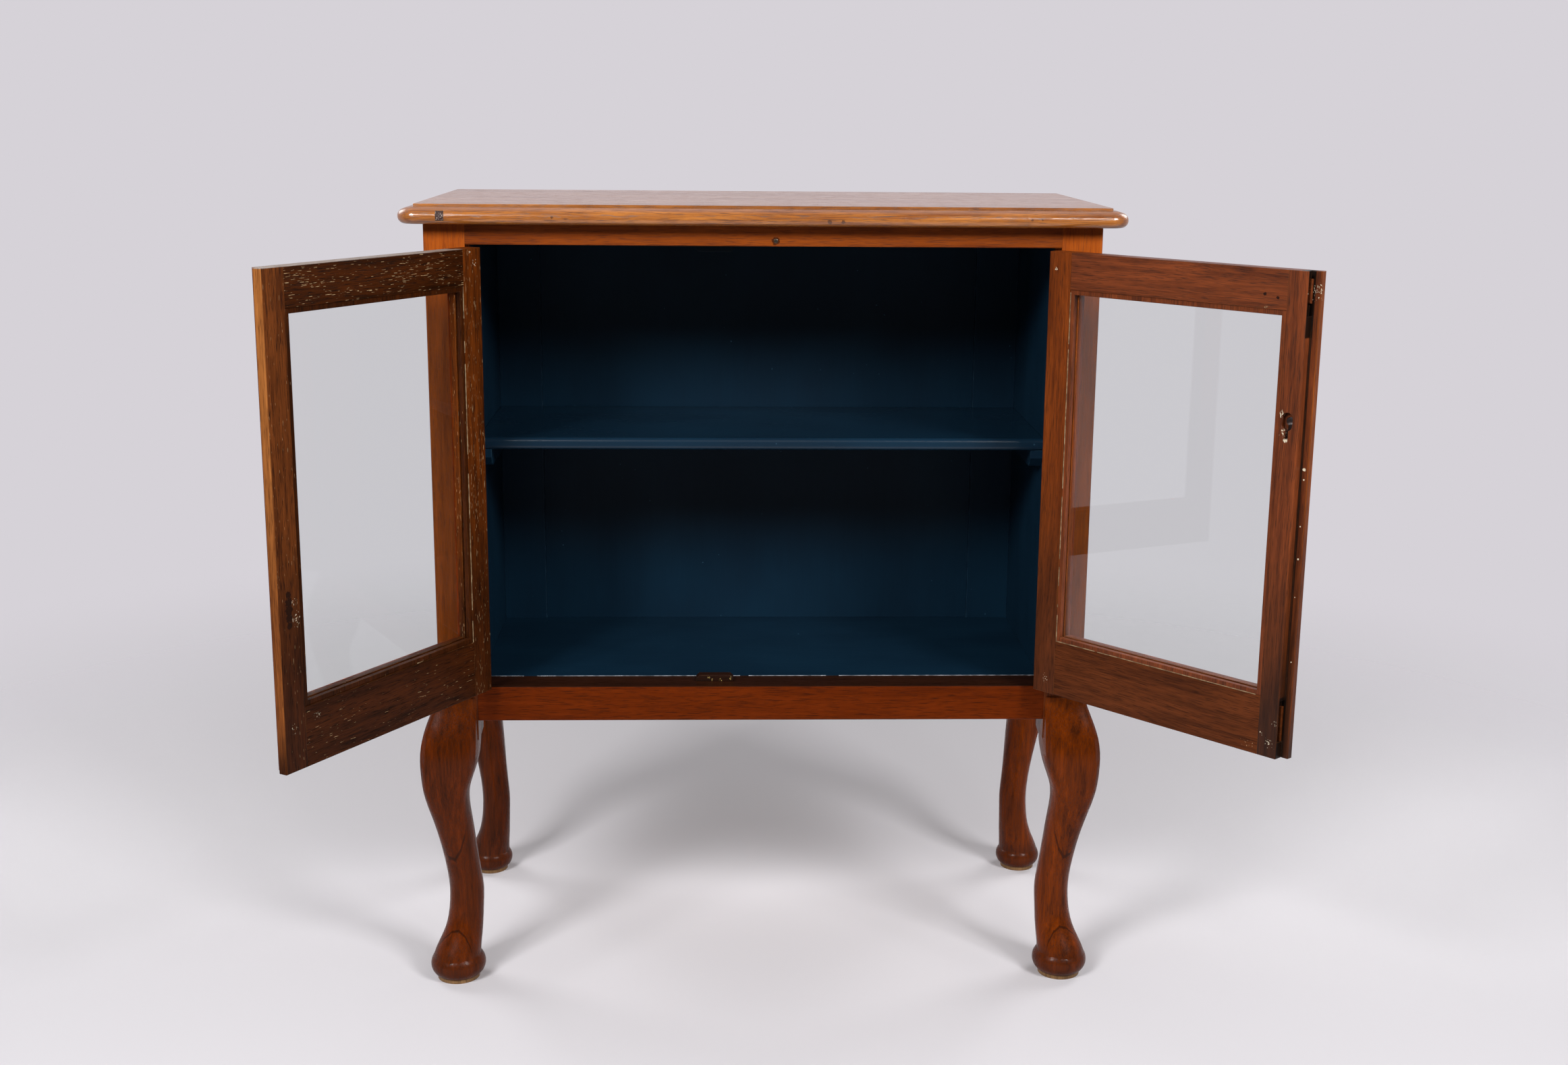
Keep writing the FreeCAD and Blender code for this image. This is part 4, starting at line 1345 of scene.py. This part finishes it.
LEFT_FINISH = DoorFinish(
    rail=LEFT_STAIN,
    stile=LEFT_STILE_STAIN,
    hinge=LEFT_HINGE_STAIN,
    low=LEFT_STAIN,
    foot=LEFT_STAIN,
    edge=LEFT_EDGE_TINT,
    edge_low=LEFT_EDGE_LOW_TINT,
    glass_index=1.22,
    putty_keep={"hinge": 0.85, "meeting": 0.1, "bottom": 0.15, "top": 0.1},
    spots={
        # Crumbs of putty under the top rail, and a dark burn on the meeting stile
        "door_top_rail": tuple(
            Spot(along, 0.9275, 3.0, 0.9) for along in (0.07, 0.085, 0.112, 0.15, 0.166, 0.21, 0.29)
        ),
        "door_bottom_rail": (Spot(0.3205, 0.4692, 8.0, 1.0),),
        "hinge_stile": (Spot(0.0215, 0.9724, 4.0, 0.94), Spot(0.013, 0.9588, 6.0, 0.99)),
        "meeting_stile": tuple(
            Spot(0.3562, 0.6012 + 0.009 * step, 6.5 - abs(step), 0.35, BURN_COLOUR) for step in range(-2, 3)
        )
        + (
            Spot(0.3449, 0.5881, 11.0, 0.99),
            Spot(0.3475, 0.6080, 6.0, 0.98),
            Spot(0.3577, 0.464, 9.0, 1.02),
        ),
    },
    flecks=1.0,
    dusty=True,
)

RIGHT_FINISH = DoorFinish(
    rail=RIGHT_STAIN,
    stile=RIGHT_STAIN,
    hinge=RIGHT_HINGE_STAIN,
    low=RIGHT_SHADED_LOW_STAIN,
    foot=RIGHT_FOOT_TINT,
    edge=RIGHT_EDGE_TINT,
    edge_low=RIGHT_EDGE_LOW_TINT,
    glass_index=1.48,
    putty_keep={"hinge": 0.7, "meeting": 0.1, "bottom": 0.9, "top": 0.15},
    spots={
        # Two old screw holes in the top rail, drawn as spots of painted shade, and smears of putty round the
        # keyhole
        "door_top_rail": (
            Spot(0.3102, 0.9495, 2.4, 0.0, HOLE_SHADE_COLOUR),
            Spot(0.327, 0.9463, 2.2, 0.0, HOLE_SHADE_COLOUR),
            Spot(0.3121, 0.9354, 3.0, 0.9, PUTTY_COLOUR),
        ),
        "door_bottom_rail": (Spot(0.325, 0.425, 12.0, 1.05, FLECK_COLOUR),),
        "hinge_stile": (Spot(0.012, 0.9572, 2.6, 0.85), Spot(0.02, 0.432, 9.0, 1.03)),
        "meeting_stile": (
            Spot(0.3425, 0.8165, 5.0, 0.86),
            Spot(0.3450, 0.7965, 6.0, 0.88),
            Spot(0.3490, 0.7880, 3.0, 0.6),
            Spot(0.3545, 0.4300, 8.0, 1.02),
            Spot(0.3430, 0.4400, 6.0, 1.03),
            Spot(0.3610, 0.4560, 7.0, 1.04),
        ),
    },
    lipped=True,
)


@dataclass
class DoorLooks:
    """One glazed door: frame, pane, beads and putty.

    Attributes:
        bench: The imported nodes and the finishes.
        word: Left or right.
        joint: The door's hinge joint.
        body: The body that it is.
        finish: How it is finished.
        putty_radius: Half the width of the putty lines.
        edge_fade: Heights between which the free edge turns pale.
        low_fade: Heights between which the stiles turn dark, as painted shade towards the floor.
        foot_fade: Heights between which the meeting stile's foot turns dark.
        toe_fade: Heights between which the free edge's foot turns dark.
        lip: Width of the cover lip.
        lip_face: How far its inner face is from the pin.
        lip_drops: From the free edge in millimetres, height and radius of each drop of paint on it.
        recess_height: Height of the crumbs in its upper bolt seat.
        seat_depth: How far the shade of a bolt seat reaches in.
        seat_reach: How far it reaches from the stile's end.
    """

    bench: Workbench
    word: str
    joint: dict
    body: Body
    finish: DoorFinish
    putty_radius: float = 0.00055
    edge_fade: Range = (0.56, 0.8)
    low_fade: Range = (0.74, 0.5)
    foot_fade: Range = (0.57, 0.45)
    toe_fade: Range = (0.48, 0.41)
    lip: float = 0.009
    lip_face: float = 0.012
    lip_drops: tuple[tuple[float, float, float], ...] = (
        (5.2, 0.7555, 2.0),
        (4.6, 0.744, 1.2),
        (5.0, 0.69, 0.8),
        (4.8, 0.652, 1.2),
        (5.4, 0.607, 0.7),
        (4.4, 0.53, 0.9),
    )
    recess_height: float = 0.955
    seat_depth: float = 0.012
    seat_reach: float = 0.075

    def __post_init__(self) -> None:
        """Work out the open door's own directions from its hinge."""
        side = SIDES[self.word]
        turn = Matrix.Rotation(-side * math.radians(self.joint["range_deg"][0]), 3, "Z")
        self.pin = Vector(self.joint["pos_m"])
        self.along = turn @ Vector((-side, 0.0, 0.0))
        self.inward = turn @ Y_WAY

    def spot(self, along: float, inward: float, z: float) -> Vector:
        """A place on the open door, from its hinge pin."""
        flat = self.pin + self.along * along + self.inward * inward
        return Vector((flat.x, flat.y, z))

    def build(self) -> None:
        """Dress the door's nodes and add its putty."""
        for board in self._boards():
            self.bench.dress_board(board, self.body)
        pane = self.word + "_glass"
        self.bench.dress(self.bench.nodes[pane], self.bench.finishes.pane(pane, self.finish.glass_index))
        self._putty()

    def _outside(self) -> Region:
        """The polished front of the door, which matches the case."""
        front, _ = self.bench.span(self.word + "_door_top_rail", self.pin, self.inward)
        plane = -self.pin.dot(self.inward) - front
        return Region(RAIL_STAIN, (Plane(-self.inward, plane - 4.0 * MM, plane - 2.0 * MM),))

    def _free_edges(self, node: str) -> tuple[Region, ...]:
        """The edge of the meeting stile, which is paler towards its top and dark at its foot."""
        _, reach = self.bench.span(node, self.pin, self.along)
        plane = self.pin.dot(self.along) + reach
        edge = Plane(self.along, plane - 2.0 * MM, plane - 0.5 * MM)
        return (
            Region(self.finish.edge_low, (edge,)),
            Region(self.finish.edge, (edge, Plane.above(self.edge_fade))),
            Region(self.finish.foot, (edge, Plane.below(self.toe_fade))),
        )

    def _dust(self, node: str) -> tuple[Region, ...]:
        """Dust on the top edge of a dusty door."""
        if not self.finish.dusty:
            return ()
        _, top = self.bench.span(node, Vector(), Z_WAY)
        return (Region(DUST_TINT, (Plane.above((top - 0.6 * MM, top - 0.2 * MM)),)),)

    def _step(self, node: str) -> tuple[Region, ...]:
        """Painted shade in the inner corner of the cover lip, and the darker bolt seats in it."""
        if not self.finish.lipped:
            return ()
        _, reach = self.bench.span(node, self.pin, self.along)
        _, back = self.bench.span(node, self.pin, self.inward)
        base, top = self.bench.span(node, Vector(), Z_WAY)
        corner = self.pin.dot(self.along) + reach - self.lip
        face = self.pin.dot(self.inward) + back
        cover = self.pin.dot(self.inward) + self.lip_face
        past = Plane(self.along, corner - 0.6 * MM, corner - 0.3 * MM)
        short = Plane(-self.along, -corner - 2.6 * MM, -corner - 1.2 * MM)
        near = Plane(-self.inward, -cover - 3.0 * MM, -cover - 1.5 * MM)
        deep = Plane(-self.inward, -face + 0.4 * MM, -face + 1.0 * MM)
        seat = Plane(self.along, corner - self.seat_depth, corner - self.seat_depth + 0.5 * MM)
        low_end, high_end = base + self.seat_reach, top - self.seat_reach
        ends = (Plane.below((low_end, low_end - 2.0 * MM)), Plane.above((high_end, high_end + 2.0 * MM)))
        seats = tuple(Region(SEAT_TINT, (seat, short, deep, end)) for end in ends)
        # Painted shade along the lip's inner corner, then the bolt seats
        return (Region(SHADE_TINT, (past, short, near)),) + seats

    def _boards(self) -> list[Board]:
        """The four frame pieces and the beads."""
        finish = self.finish
        outside = (self._outside(),)
        # The stiles darken towards the floor: painted shade
        low = Region(finish.low, (Plane.below(self.low_fade),))
        foot = Region(finish.foot, (Plane.below(self.foot_fade),))
        meeting, top = self.word + "_meeting_stile", self.word + "_door_top_rail"
        edges = self._step(meeting) + outside + self._free_edges(meeting) + self._dust(meeting)
        return [
            self._board("hinge_stile", Z_WAY, finish.hinge, (low,), outside, smooth=True),
            self._board("meeting_stile", Z_WAY, finish.stile, (low, foot), edges, smooth=True),
            self._board("door_top_rail", self.along, finish.rail, (), outside + self._dust(top)),
            self._board("door_bottom_rail", self.along, finish.low, (), outside),
            self._board("glazing_beads", Z_WAY, finish.rail),
        ]

    def _board(
        self,
        piece: str,
        grain: Vector,
        stain: Stain,
        regions: tuple[Region, ...] = (),
        polished: tuple[Region, ...] = (),
        smooth: bool = False,
    ) -> Board:
        """One frame piece with its spots and flecks.

        Args:
            piece: The frame piece.
            grain: The way that its grain runs.
            stain: Its stain.
            regions: Where it has other tones.
            polished: Where it has other tones and no flecks.
            smooth: Whether it has curved faces.

        Returns:
            The frame piece's looks.
        """
        flecks = self.finish.flecks * FLECK_SHARES[piece]
        node = "%s_%s" % (self.word, piece)
        marks = self._marks(node, self.finish.spots.get(piece, ()))
        if piece == "meeting_stile":
            marks += self._lip_marks(node)
        return Board(node, grain, stain, regions, polished, marks, flecks, smooth=smooth)

    def _marks(self, node: str, spots: tuple[Spot, ...]) -> tuple[Mark, ...]:
        """Spots on the inner face of one frame piece.

        Args:
            node: The frame piece.
            spots: The spots.

        Returns:
            The marks.
        """
        _, face = self.bench.span(node, self.pin, self.inward)
        marks = []
        for spot in spots:
            place = self.spot(spot.along, face, spot.z)
            marks.append(Mark(place, spot.radius * MM, spot.colour, strength=0.9, crumbs=spot.crumbs))
        return tuple(marks)

    def _lip_marks(self, node: str) -> tuple[Mark, ...]:
        """Drops of old paint down the cover lip and crumbs in its upper bolt seat."""
        if not self.finish.lipped:
            return ()
        _, reach = self.bench.span(node, self.pin, self.along)
        marks = []
        for back, z, radius in self.lip_drops:
            place = self.spot(reach - back * MM, self.lip_face, z)
            marks.append(Mark(place, radius * MM, CRUMB_COLOUR, ragged=0.4))
        recess = self.spot(reach - self.lip / 2, self.lip_face, self.recess_height)
        marks.append(Mark(recess, 13.0 * MM, CRUMB_COLOUR, strength=0.9, crumbs=0.98))
        return tuple(marks)

    def _putty(self) -> None:
        """Broken lines of old putty where the beads meet the frame."""
        beads = self.word + "_glazing_beads"
        near, far = self.bench.span(beads, self.pin, self.along)
        _, face = self.bench.span(beads, self.pin, self.inward)
        base, top = self.bench.span(beads, Vector(), Z_WAY)
        lift, inset = face + 0.2 * MM, 0.4 * MM
        runs = {
            "hinge": ((near + inset, base), (near + inset, top)),
            "meeting": ((far - inset, base), (far - inset, top)),
            "bottom": ((near, base + inset), (far, base + inset)),
            "top": ((near, top - inset), (far, top - inset)),
        }
        points: list[Vector] = []
        keeps: list[float] = []
        for side, ends in runs.items():
            points += [self.spot(along, lift, z) for along, z in ends]
            keeps += [self.finish.putty_keep[side]] * len(ends)
        name = self.word + "_putty"
        mesh = PuttyLine(self.putty_radius).mesh(name, points, keeps, self.bench.finishes.putty())
        self.bench.place(bpy.data.objects.new(name, mesh), self.body, Slot.WOOD)


# Geometry Nodes


class PatternTree(Graph):
    """A Geometry Nodes tree with named inputs, run once to give a plain mesh."""

    def __init__(self, name: str, inputs: dict[str, tuple[str, object]]) -> None:
        """Start the tree.

        Args:
            name: Name of the tree.
            inputs: Socket kind and value by input name.
        """
        super().__init__(bpy.data.node_groups.new(name, "GeometryNodeTree"))
        sockets = self.tree.interface
        sockets.new_socket("Geometry", in_out="INPUT", socket_type="NodeSocketGeometry")
        self.values: dict[str, object] = {}
        for label, (kind, value) in inputs.items():
            socket = sockets.new_socket(label, in_out="INPUT", socket_type="NodeSocket" + kind)
            self.values[socket.identifier] = value
        sockets.new_socket("Geometry", in_out="OUTPUT", socket_type="NodeSocketGeometry")
        self.given = self.tree.nodes.new("NodeGroupInput").outputs
        self.result = self.tree.nodes.new("NodeGroupOutput")

    def add(self, kind: str, feeds: dict[str | int, object] | None = None, **settings: object) -> Node:
        """A new node with its properties set and its inputs fed.

        Args:
            kind: Blender's type name of the node.
            feeds: Sockets or values by input name or place.
            settings: Properties of the node by name.

        Returns:
            The node.
        """
        node = super().add(kind, **settings)
        for name, value in (feeds or {}).items():
            self.feed(node.inputs[name], value)
        return node

    def map_noise(self, noise: Node, low: float, high: float) -> NodeSocket:
        """The middle of a noise stretched from low to high."""
        feeds = {"Value": noise.outputs[0], "From Min": 0.3, "From Max": 0.7, "To Min": low, "To Max": high}
        return self.add("ShaderNodeMapRange", feeds).outputs["Result"]

    def run(self, name: str, host: Mesh, geometry: NodeSocket, material: Material) -> Mesh:
        """End the tree in real geometry with its material, and run it on a host mesh.

        Args:
            name: Name of the new mesh.
            host: The mesh that the tree works on.
            geometry: What the tree has made.
            material: The material of the result.

        Returns:
            A plain mesh.
        """
        real = self.add("GeometryNodeRealizeInstances", {"Geometry": geometry})
        dressed = self.add("GeometryNodeSetMaterial", {"Geometry": real.outputs[0], "Material": material})
        self.feed(self.result.inputs[0], dressed.outputs[0])
        holder = bpy.data.objects.new(name + "_host", host)
        bpy.context.scene.collection.objects.link(holder)
        modifier = holder.modifiers.new("pattern", "NODES")
        modifier.node_group = self.tree
        for identifier, value in self.values.items():
            modifier[identifier] = value
        graph = bpy.context.evaluated_depsgraph_get()
        mesh = bpy.data.meshes.new_from_object(holder.evaluated_get(graph))
        mesh.name = name
        holder.modifiers.remove(modifier)
        bpy.data.objects.remove(holder)
        return mesh


@dataclass
class PuttyLine:
    """A thin line of putty along straight runs, broken where it has fallen out.

    Attributes:
        radius: Half its width.
        levels: How often each run is halved.
        seed: Seed of its gaps.
        gap_cells: Cells to the metre of its gaps.
        lump_cells: Cells to the metre of its lumps.
        sides: Number of sides of its section.
    """

    radius: float
    levels: int = 7
    seed: float = 4.0
    gap_cells: float = 55.0
    lump_cells: float = 180.0
    sides: int = 6

    def mesh(self, name: str, points: list[Vector], keeps: list[float], material: Material) -> Mesh:
        """Lay the line.

        Args:
            name: Name of the mesh.
            points: The two ends of each run, in turn.
            keeps: The share of the run that is left, for each point.
            material: The putty.

        Returns:
            The mesh of the line.
        """
        host = bpy.data.meshes.new(name + "_runs")
        host.from_pydata(points, [(index, index + 1) for index in range(0, len(points), 2)], [])
        host.attributes.new("keep", "FLOAT", "POINT").data.foreach_set("value", keeps)
        sizes = {
            "Radius": ("Float", self.radius),
            "Levels": ("Int", self.levels),
            "Seed": ("Float", self.seed),
        }
        pattern = PatternTree(name + "_tree", sizes)
        given = pattern.given
        cut = pattern.add(
            "GeometryNodeSubdivideMesh", {"Mesh": given["Geometry"], "Level": given["Levels"]}
        )
        keep = pattern.add("GeometryNodeInputNamedAttribute", {"Name": "keep"}, data_type="FLOAT")
        gap = pattern.add(
            "ShaderNodeTexNoise",
            {"W": given["Seed"], "Scale": self.gap_cells, "Detail": 2.0},
            noise_dimensions="4D",
        )
        gone = pattern.add(
            "FunctionNodeCompare",
            {"A": pattern.map_noise(gap, 0.0, 1.0), "B": keep.outputs["Attribute"]},
            data_type="FLOAT",
            operation="GREATER_THAN",
        )
        left = pattern.add(
            "GeometryNodeDeleteGeometry",
            {"Geometry": cut.outputs["Mesh"], "Selection": gone.outputs["Result"]},
            domain="POINT",
        )
        runs = pattern.add("GeometryNodeMeshToCurve", {"Mesh": left.outputs[0]})
        lump = pattern.add("ShaderNodeTexNoise", {"Scale": self.lump_cells})
        sized = pattern.add(
            "GeometryNodeSetCurveRadius",
            {"Curve": runs.outputs[0], "Radius": pattern.map_noise(lump, 0.5, 1.2)},
        )
        section = pattern.add(
            "GeometryNodeCurvePrimitiveCircle", {"Resolution": self.sides, "Radius": given["Radius"]}
        )
        solid = pattern.add(
            "GeometryNodeCurveToMesh",
            {"Curve": sized.outputs[0], "Profile Curve": section.outputs["Curve"], "Fill Caps": True},
        )
        return pattern.run(name, host, solid.outputs[0], material)


@dataclass
class HingeScrews:
    """Countersunk slotted screws in the hinge leaves of one body.

    Attributes:
        head_radius: Radius of a head.
        head_height: Height of a head.
        slot_width: Width of its slot.
        head_sides: Number of sides of a head.
        stagger: Share of the leaf's height, and distance from its far edge in millimetres, of each screw.
        places: Where the screws are.
        outs: The way that each faces.
    """

    head_radius: float = 0.0029
    head_height: float = 0.0003
    slot_width: float = 0.0007
    head_sides: int = 20
    stagger: tuple[Range, ...] = ((0.18, 5.0), (0.5, 10.5), (0.82, 5.0))
    places: list[Vector] = field(default_factory=list)
    outs: list[Vector] = field(default_factory=list)

    def add_leaf(self, bench: Workbench, node: str, origin: Vector, out: Vector, deep: Vector) -> None:
        """Three screws in one leaf, staggered across its width.

        Args:
            bench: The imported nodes.
            node: The leaf.
            origin: Where the leaf is measured from.
            out: The way that its plate faces.
            deep: The way that it runs in from the knuckle.
        """
        low, high = bench.span(node, Vector(), Z_WAY)
        _, back = bench.span(node, origin, deep)
        offsets = [vertex.co - origin for vertex in bench.nodes[node].data.vertices]
        face = max(offset.dot(out) for offset in offsets if offset.dot(deep) > back - 1.0 * MM)
        for share, inset in self.stagger:
            flat = origin + out * face + deep * (back - inset * MM)
            self.places.append(Vector((flat.x, flat.y, low + share * (high - low))))
            self.outs.append(out)

    def mesh(self, name: str, material: Material) -> Mesh:
        """Every screw head as one mesh.

        Args:
            name: Name of the mesh.
            material: The metal.

        Returns:
            The mesh.
        """
        host = bpy.data.meshes.new(name + "_places")
        host.from_pydata(self.places, [], [])
        facing = host.attributes.new("facing", "FLOAT_VECTOR", "POINT")
        facing.data.foreach_set("vector", [part for out in self.outs for part in out])
        sizes = {
            "Head Radius": ("Float", self.head_radius),
            "Head Height": ("Float", self.head_height),
            "Slot Width": ("Float", self.slot_width),
        }
        pattern = PatternTree(name + "_tree", sizes)
        given = pattern.given
        radius, height = given["Head Radius"], given["Head Height"]
        head = pattern.add(
            "GeometryNodeMeshCylinder", {"Vertices": self.head_sides, "Radius": radius, "Depth": height}
        )
        size = pattern.add(
            "ShaderNodeCombineXYZ",
            {"X": pattern.math("MULTIPLY", radius, 3.0), "Y": given["Slot Width"], "Z": height},
        )
        bar = pattern.add("GeometryNodeMeshCube", {"Size": size.outputs[0]})
        lift = pattern.add("ShaderNodeCombineXYZ", {"Z": pattern.math("MULTIPLY", height, 0.5)})
        raised = pattern.add(
            "GeometryNodeTransform", {"Geometry": bar.outputs["Mesh"], "Translation": lift.outputs[0]}
        )
        slotted = pattern.add(
            "GeometryNodeMeshBoolean",
            {0: head.outputs["Mesh"], 1: raised.outputs[0]},
            operation="DIFFERENCE",
        )
        points = pattern.add("GeometryNodeMeshToPoints", {"Mesh": given["Geometry"]})
        way = pattern.add("GeometryNodeInputNamedAttribute", {"Name": "facing"}, data_type="FLOAT_VECTOR")
        turn = pattern.add(
            "FunctionNodeAlignRotationToVector", {"Vector": way.outputs["Attribute"]}, axis="Z"
        )
        laid = pattern.add(
            "GeometryNodeInstanceOnPoints",
            {"Points": points.outputs[0], "Instance": slotted.outputs["Mesh"], "Rotation": turn.outputs[0]},
        )
        return pattern.run(name, host, laid.outputs[0], material)


@dataclass
class HingeLooks:
    """The butt hinges: smooth knuckles, aged brass and screws."""

    bench: Workbench
    doors: tuple[DoorLooks, DoorLooks]

    def build(self) -> None:
        """Dress every leaf and add the screws of each body."""
        post_screws = HingeScrews()
        for door in self.doors:
            door_screws = HingeScrews()
            for level in ("lower", "upper"):
                post = "%s_hinge_post_leaf_%s" % (door.word, level)
                leaf = "%s_hinge_door_leaf_%s" % (door.word, level)
                self._dress(post, Body.CASE)
                self._dress(leaf, door.body)
                post_screws.add_leaf(self.bench, post, door.pin, -SIDES[door.word] * X_WAY, Y_WAY)
                door_screws.add_leaf(self.bench, leaf, door.pin, -door.along, door.inward)
            self._screw(door.word + "_door_hinge_screws", door_screws, door.body)
        self._screw("post_hinge_screws", post_screws, Body.CASE)

    def _dress(self, node: str, body: Body) -> None:
        """Smooth one leaf and give it its metal."""
        piece = self.bench.smooth_copy(node, body, Slot.BRASS)
        self.bench.dress(piece, self.bench.finishes.metal(node, HINGE_METAL))

    def _screw(self, name: str, screws: HingeScrews, body: Body) -> None:
        """Put the screws of one body in place."""
        mesh = screws.mesh(name, self.bench.finishes.metal(name, HINGE_METAL))
        self.bench.place(bpy.data.objects.new(name, mesh), body, Slot.BRASS)


# Studio


@dataclass(frozen=True)
class Lamp:
    """A square soft lamp: its name, place, side in metres and power in watts."""

    name: str
    place: Vector
    size: float
    power: float


LAMPS = (
    Lamp("key_lamp", Vector((-1.7, -2.5, 2.45)), 0.9, 96.0),
    Lamp("fill_lamp", Vector((1.9, -2.4, 2.4)), 0.9, 84.0),
    Lamp("rear_left_lamp", Vector((-2.5, 1.7, 2.5)), 1.6, 44.0),
    Lamp("rear_right_lamp", Vector((2.5, 1.7, 2.5)), 1.6, 44.0),
    Lamp("left_glint_lamp", Vector((-0.9, -2.5, 2.4)), 0.4, 7.0),
    Lamp("right_glint_lamp", Vector((0.9, -2.5, 2.4)), 0.4, 7.0),
)


@dataclass
class Studio:
    """Camera, lamps, world and floor, none of which is part of the cabinet.

    Attributes:
        focal_px: Focal length in pixels of the photograph.
        sensor: Width of the sensor in millimetres.
        eye: Where the camera stands.
        pitch: How far it looks up, in degrees.
        yaw: How far it looks to the right, in degrees.
        roll: How far it leans, in degrees.
        aim: Where the lamps point.
        backdrop: Colour behind the cabinet.
        floor_colour: Colour of the floor.
        floor_rough: Roughness of the floor.
        floor_reach: Half the side of the floor.
        floor_fade: Shares of that between which it fades into the backdrop.
        ambient: Strength of the light from all round.
        gloss_fade: From before to behind the cabinet, where gloss starts to see the backdrop.
        gloss_least: How much of it gloss sees before the cabinet.
    """

    focal_px: float = 2781.4
    sensor: float = 36.0
    eye: Vector = field(default_factory=lambda: Vector((-0.0573, -2.5262, 1.1506)))
    pitch: float = -12.82
    yaw: float = 2.05
    roll: float = 0.5
    aim: Vector = field(default_factory=lambda: Vector((0.0, 0.0, 0.62)))
    backdrop: str = "D6D2D8"
    floor_colour: str = "CFCCD0"
    floor_rough: float = 0.8
    floor_reach: float = 2.6
    floor_fade: Range = (0.35, 0.95)
    ambient: float = 0.1
    gloss_fade: Range = (-0.45, 0.25)
    gloss_least: float = 0.1

    def build(self) -> None:
        """Set up everything round the cabinet."""
        self._camera()
        self._world()
        self._floor()
        for lamp in LAMPS:
            self._lamp(lamp)
        bpy.context.scene.view_settings.view_transform = "Standard"

    def _camera(self) -> None:
        """The camera, at the photograph's place and lens."""
        pitch, yaw, roll = (math.radians(angle) for angle in (self.pitch, self.yaw, self.roll))
        ahead = Vector((math.sin(yaw) * math.cos(pitch), math.cos(yaw) * math.cos(pitch), math.sin(pitch)))
        level = Vector((math.cos(yaw), -math.sin(yaw), 0.0))
        upright = level.cross(ahead)
        right = level * math.cos(roll) + upright * math.sin(roll)
        up = upright * math.cos(roll) - level * math.sin(roll)
        data = bpy.data.cameras.new("camera")
        data.sensor_fit = "HORIZONTAL"
        data.sensor_width = self.sensor
        data.lens = self.sensor * self.focal_px / PHOTO_WIDTH
        camera = bpy.data.objects.new("camera", data)
        turn = Matrix((right, up, -ahead)).transposed().to_4x4()
        camera.matrix_world = Matrix.Translation(self.eye) @ turn
        bpy.context.scene.collection.objects.link(camera)
        bpy.context.scene.camera = camera

    def _world(self) -> None:
        """Soft light from all round, with a pale backdrop that the camera, gloss and glass see.

        Gloss sees it behind the cabinet more than before it, where a studio is dim.
        """
        world = bpy.data.worlds.new("studio")
        bpy.context.scene.world = world
        world.use_nodes = True
        graph = Graph(world.node_tree)
        light = world.node_tree.nodes["Background"]
        light.inputs["Color"].default_value = srgb("FFFFFF")
        light.inputs["Strength"].default_value = self.ambient
        seen = graph.add("ShaderNodeBackground")
        seen.inputs["Color"].default_value = srgb(self.backdrop)
        path = graph.add("ShaderNodeLightPath").outputs
        ahead = graph.vector("DOT_PRODUCT", graph.add("ShaderNodeTexCoord").outputs["Generated"], Y_WAY)
        behind = graph.ramp(ahead, *self.gloss_fade)
        behind = graph.math("MULTIPLY_ADD", behind, 1.0 - self.gloss_least, self.gloss_least)
        gloss = graph.math("MULTIPLY", path["Is Glossy Ray"], behind)
        straight = graph.math("MAXIMUM", path["Is Camera Ray"], path["Is Transmission Ray"])
        straight = graph.math("MAXIMUM", straight, gloss)
        output = world.node_tree.nodes["World Output"]
        graph.feed(output.inputs["Surface"], graph.mix(straight, light.outputs[0], seen.outputs[0]))

    def _floor(self) -> None:
        """A plain pale floor that fades into the backdrop."""
        reach = self.floor_reach
        mesh = bpy.data.meshes.new("floor")
        corners = [(-reach, -reach, 0.0), (reach, -reach, 0.0), (reach, reach, 0.0), (-reach, reach, 0.0)]
        mesh.from_pydata(corners, [], [(0, 1, 2, 3)])
        material, graph, shader = blank_material("floor")
        shader.inputs["Base Color"].default_value = srgb(self.floor_colour)
        shader.inputs["Roughness"].default_value = self.floor_rough
        away = graph.vector("LENGTH", graph.add("ShaderNodeTexCoord").outputs["Object"])
        fade = graph.ramp(away, *(share * reach for share in self.floor_fade))
        clear = graph.add("ShaderNodeBsdfTransparent").outputs["BSDF"]
        output = material.node_tree.nodes["Material Output"]
        graph.feed(output.inputs["Surface"], graph.mix(fade, shader.outputs["BSDF"], clear))
        mesh.materials.append(material)
        floor = bpy.data.objects.new("floor", mesh)
        bpy.context.scene.collection.objects.link(floor)

    def _lamp(self, lamp: Lamp) -> None:
        """Put one lamp in place and aim it."""
        data = bpy.data.lights.new(lamp.name, "AREA")
        data.size = lamp.size
        data.energy = lamp.power
        piece = bpy.data.objects.new(lamp.name, data)
        piece.location = lamp.place
        piece.rotation_euler = (self.aim - lamp.place).to_track_quat("-Z", "Y").to_euler()
        bpy.context.scene.collection.objects.link(piece)


def main() -> None:
    """Dress the cabinet and set up its studio."""
    logging.basicConfig(level=logging.INFO, format="%(name)s: %(message)s")
    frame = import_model()
    bench = Workbench(frame["nodes"], FinishShop(EffectShop()))
    joints = {joint["child"]: joint for joint in frame["joints"]}
    CaseLooks(bench).build()
    left = DoorLooks(bench, "left", joints[Body.LEFT_DOOR.value], Body.LEFT_DOOR, LEFT_FINISH)
    right = DoorLooks(bench, "right", joints[Body.RIGHT_DOOR.value], Body.RIGHT_DOOR, RIGHT_FINISH)
    for door in (left, right):
        door.build()
    HingeLooks(bench, (left, right)).build()
    Studio().build()


if __name__ == "__main__":
    main()
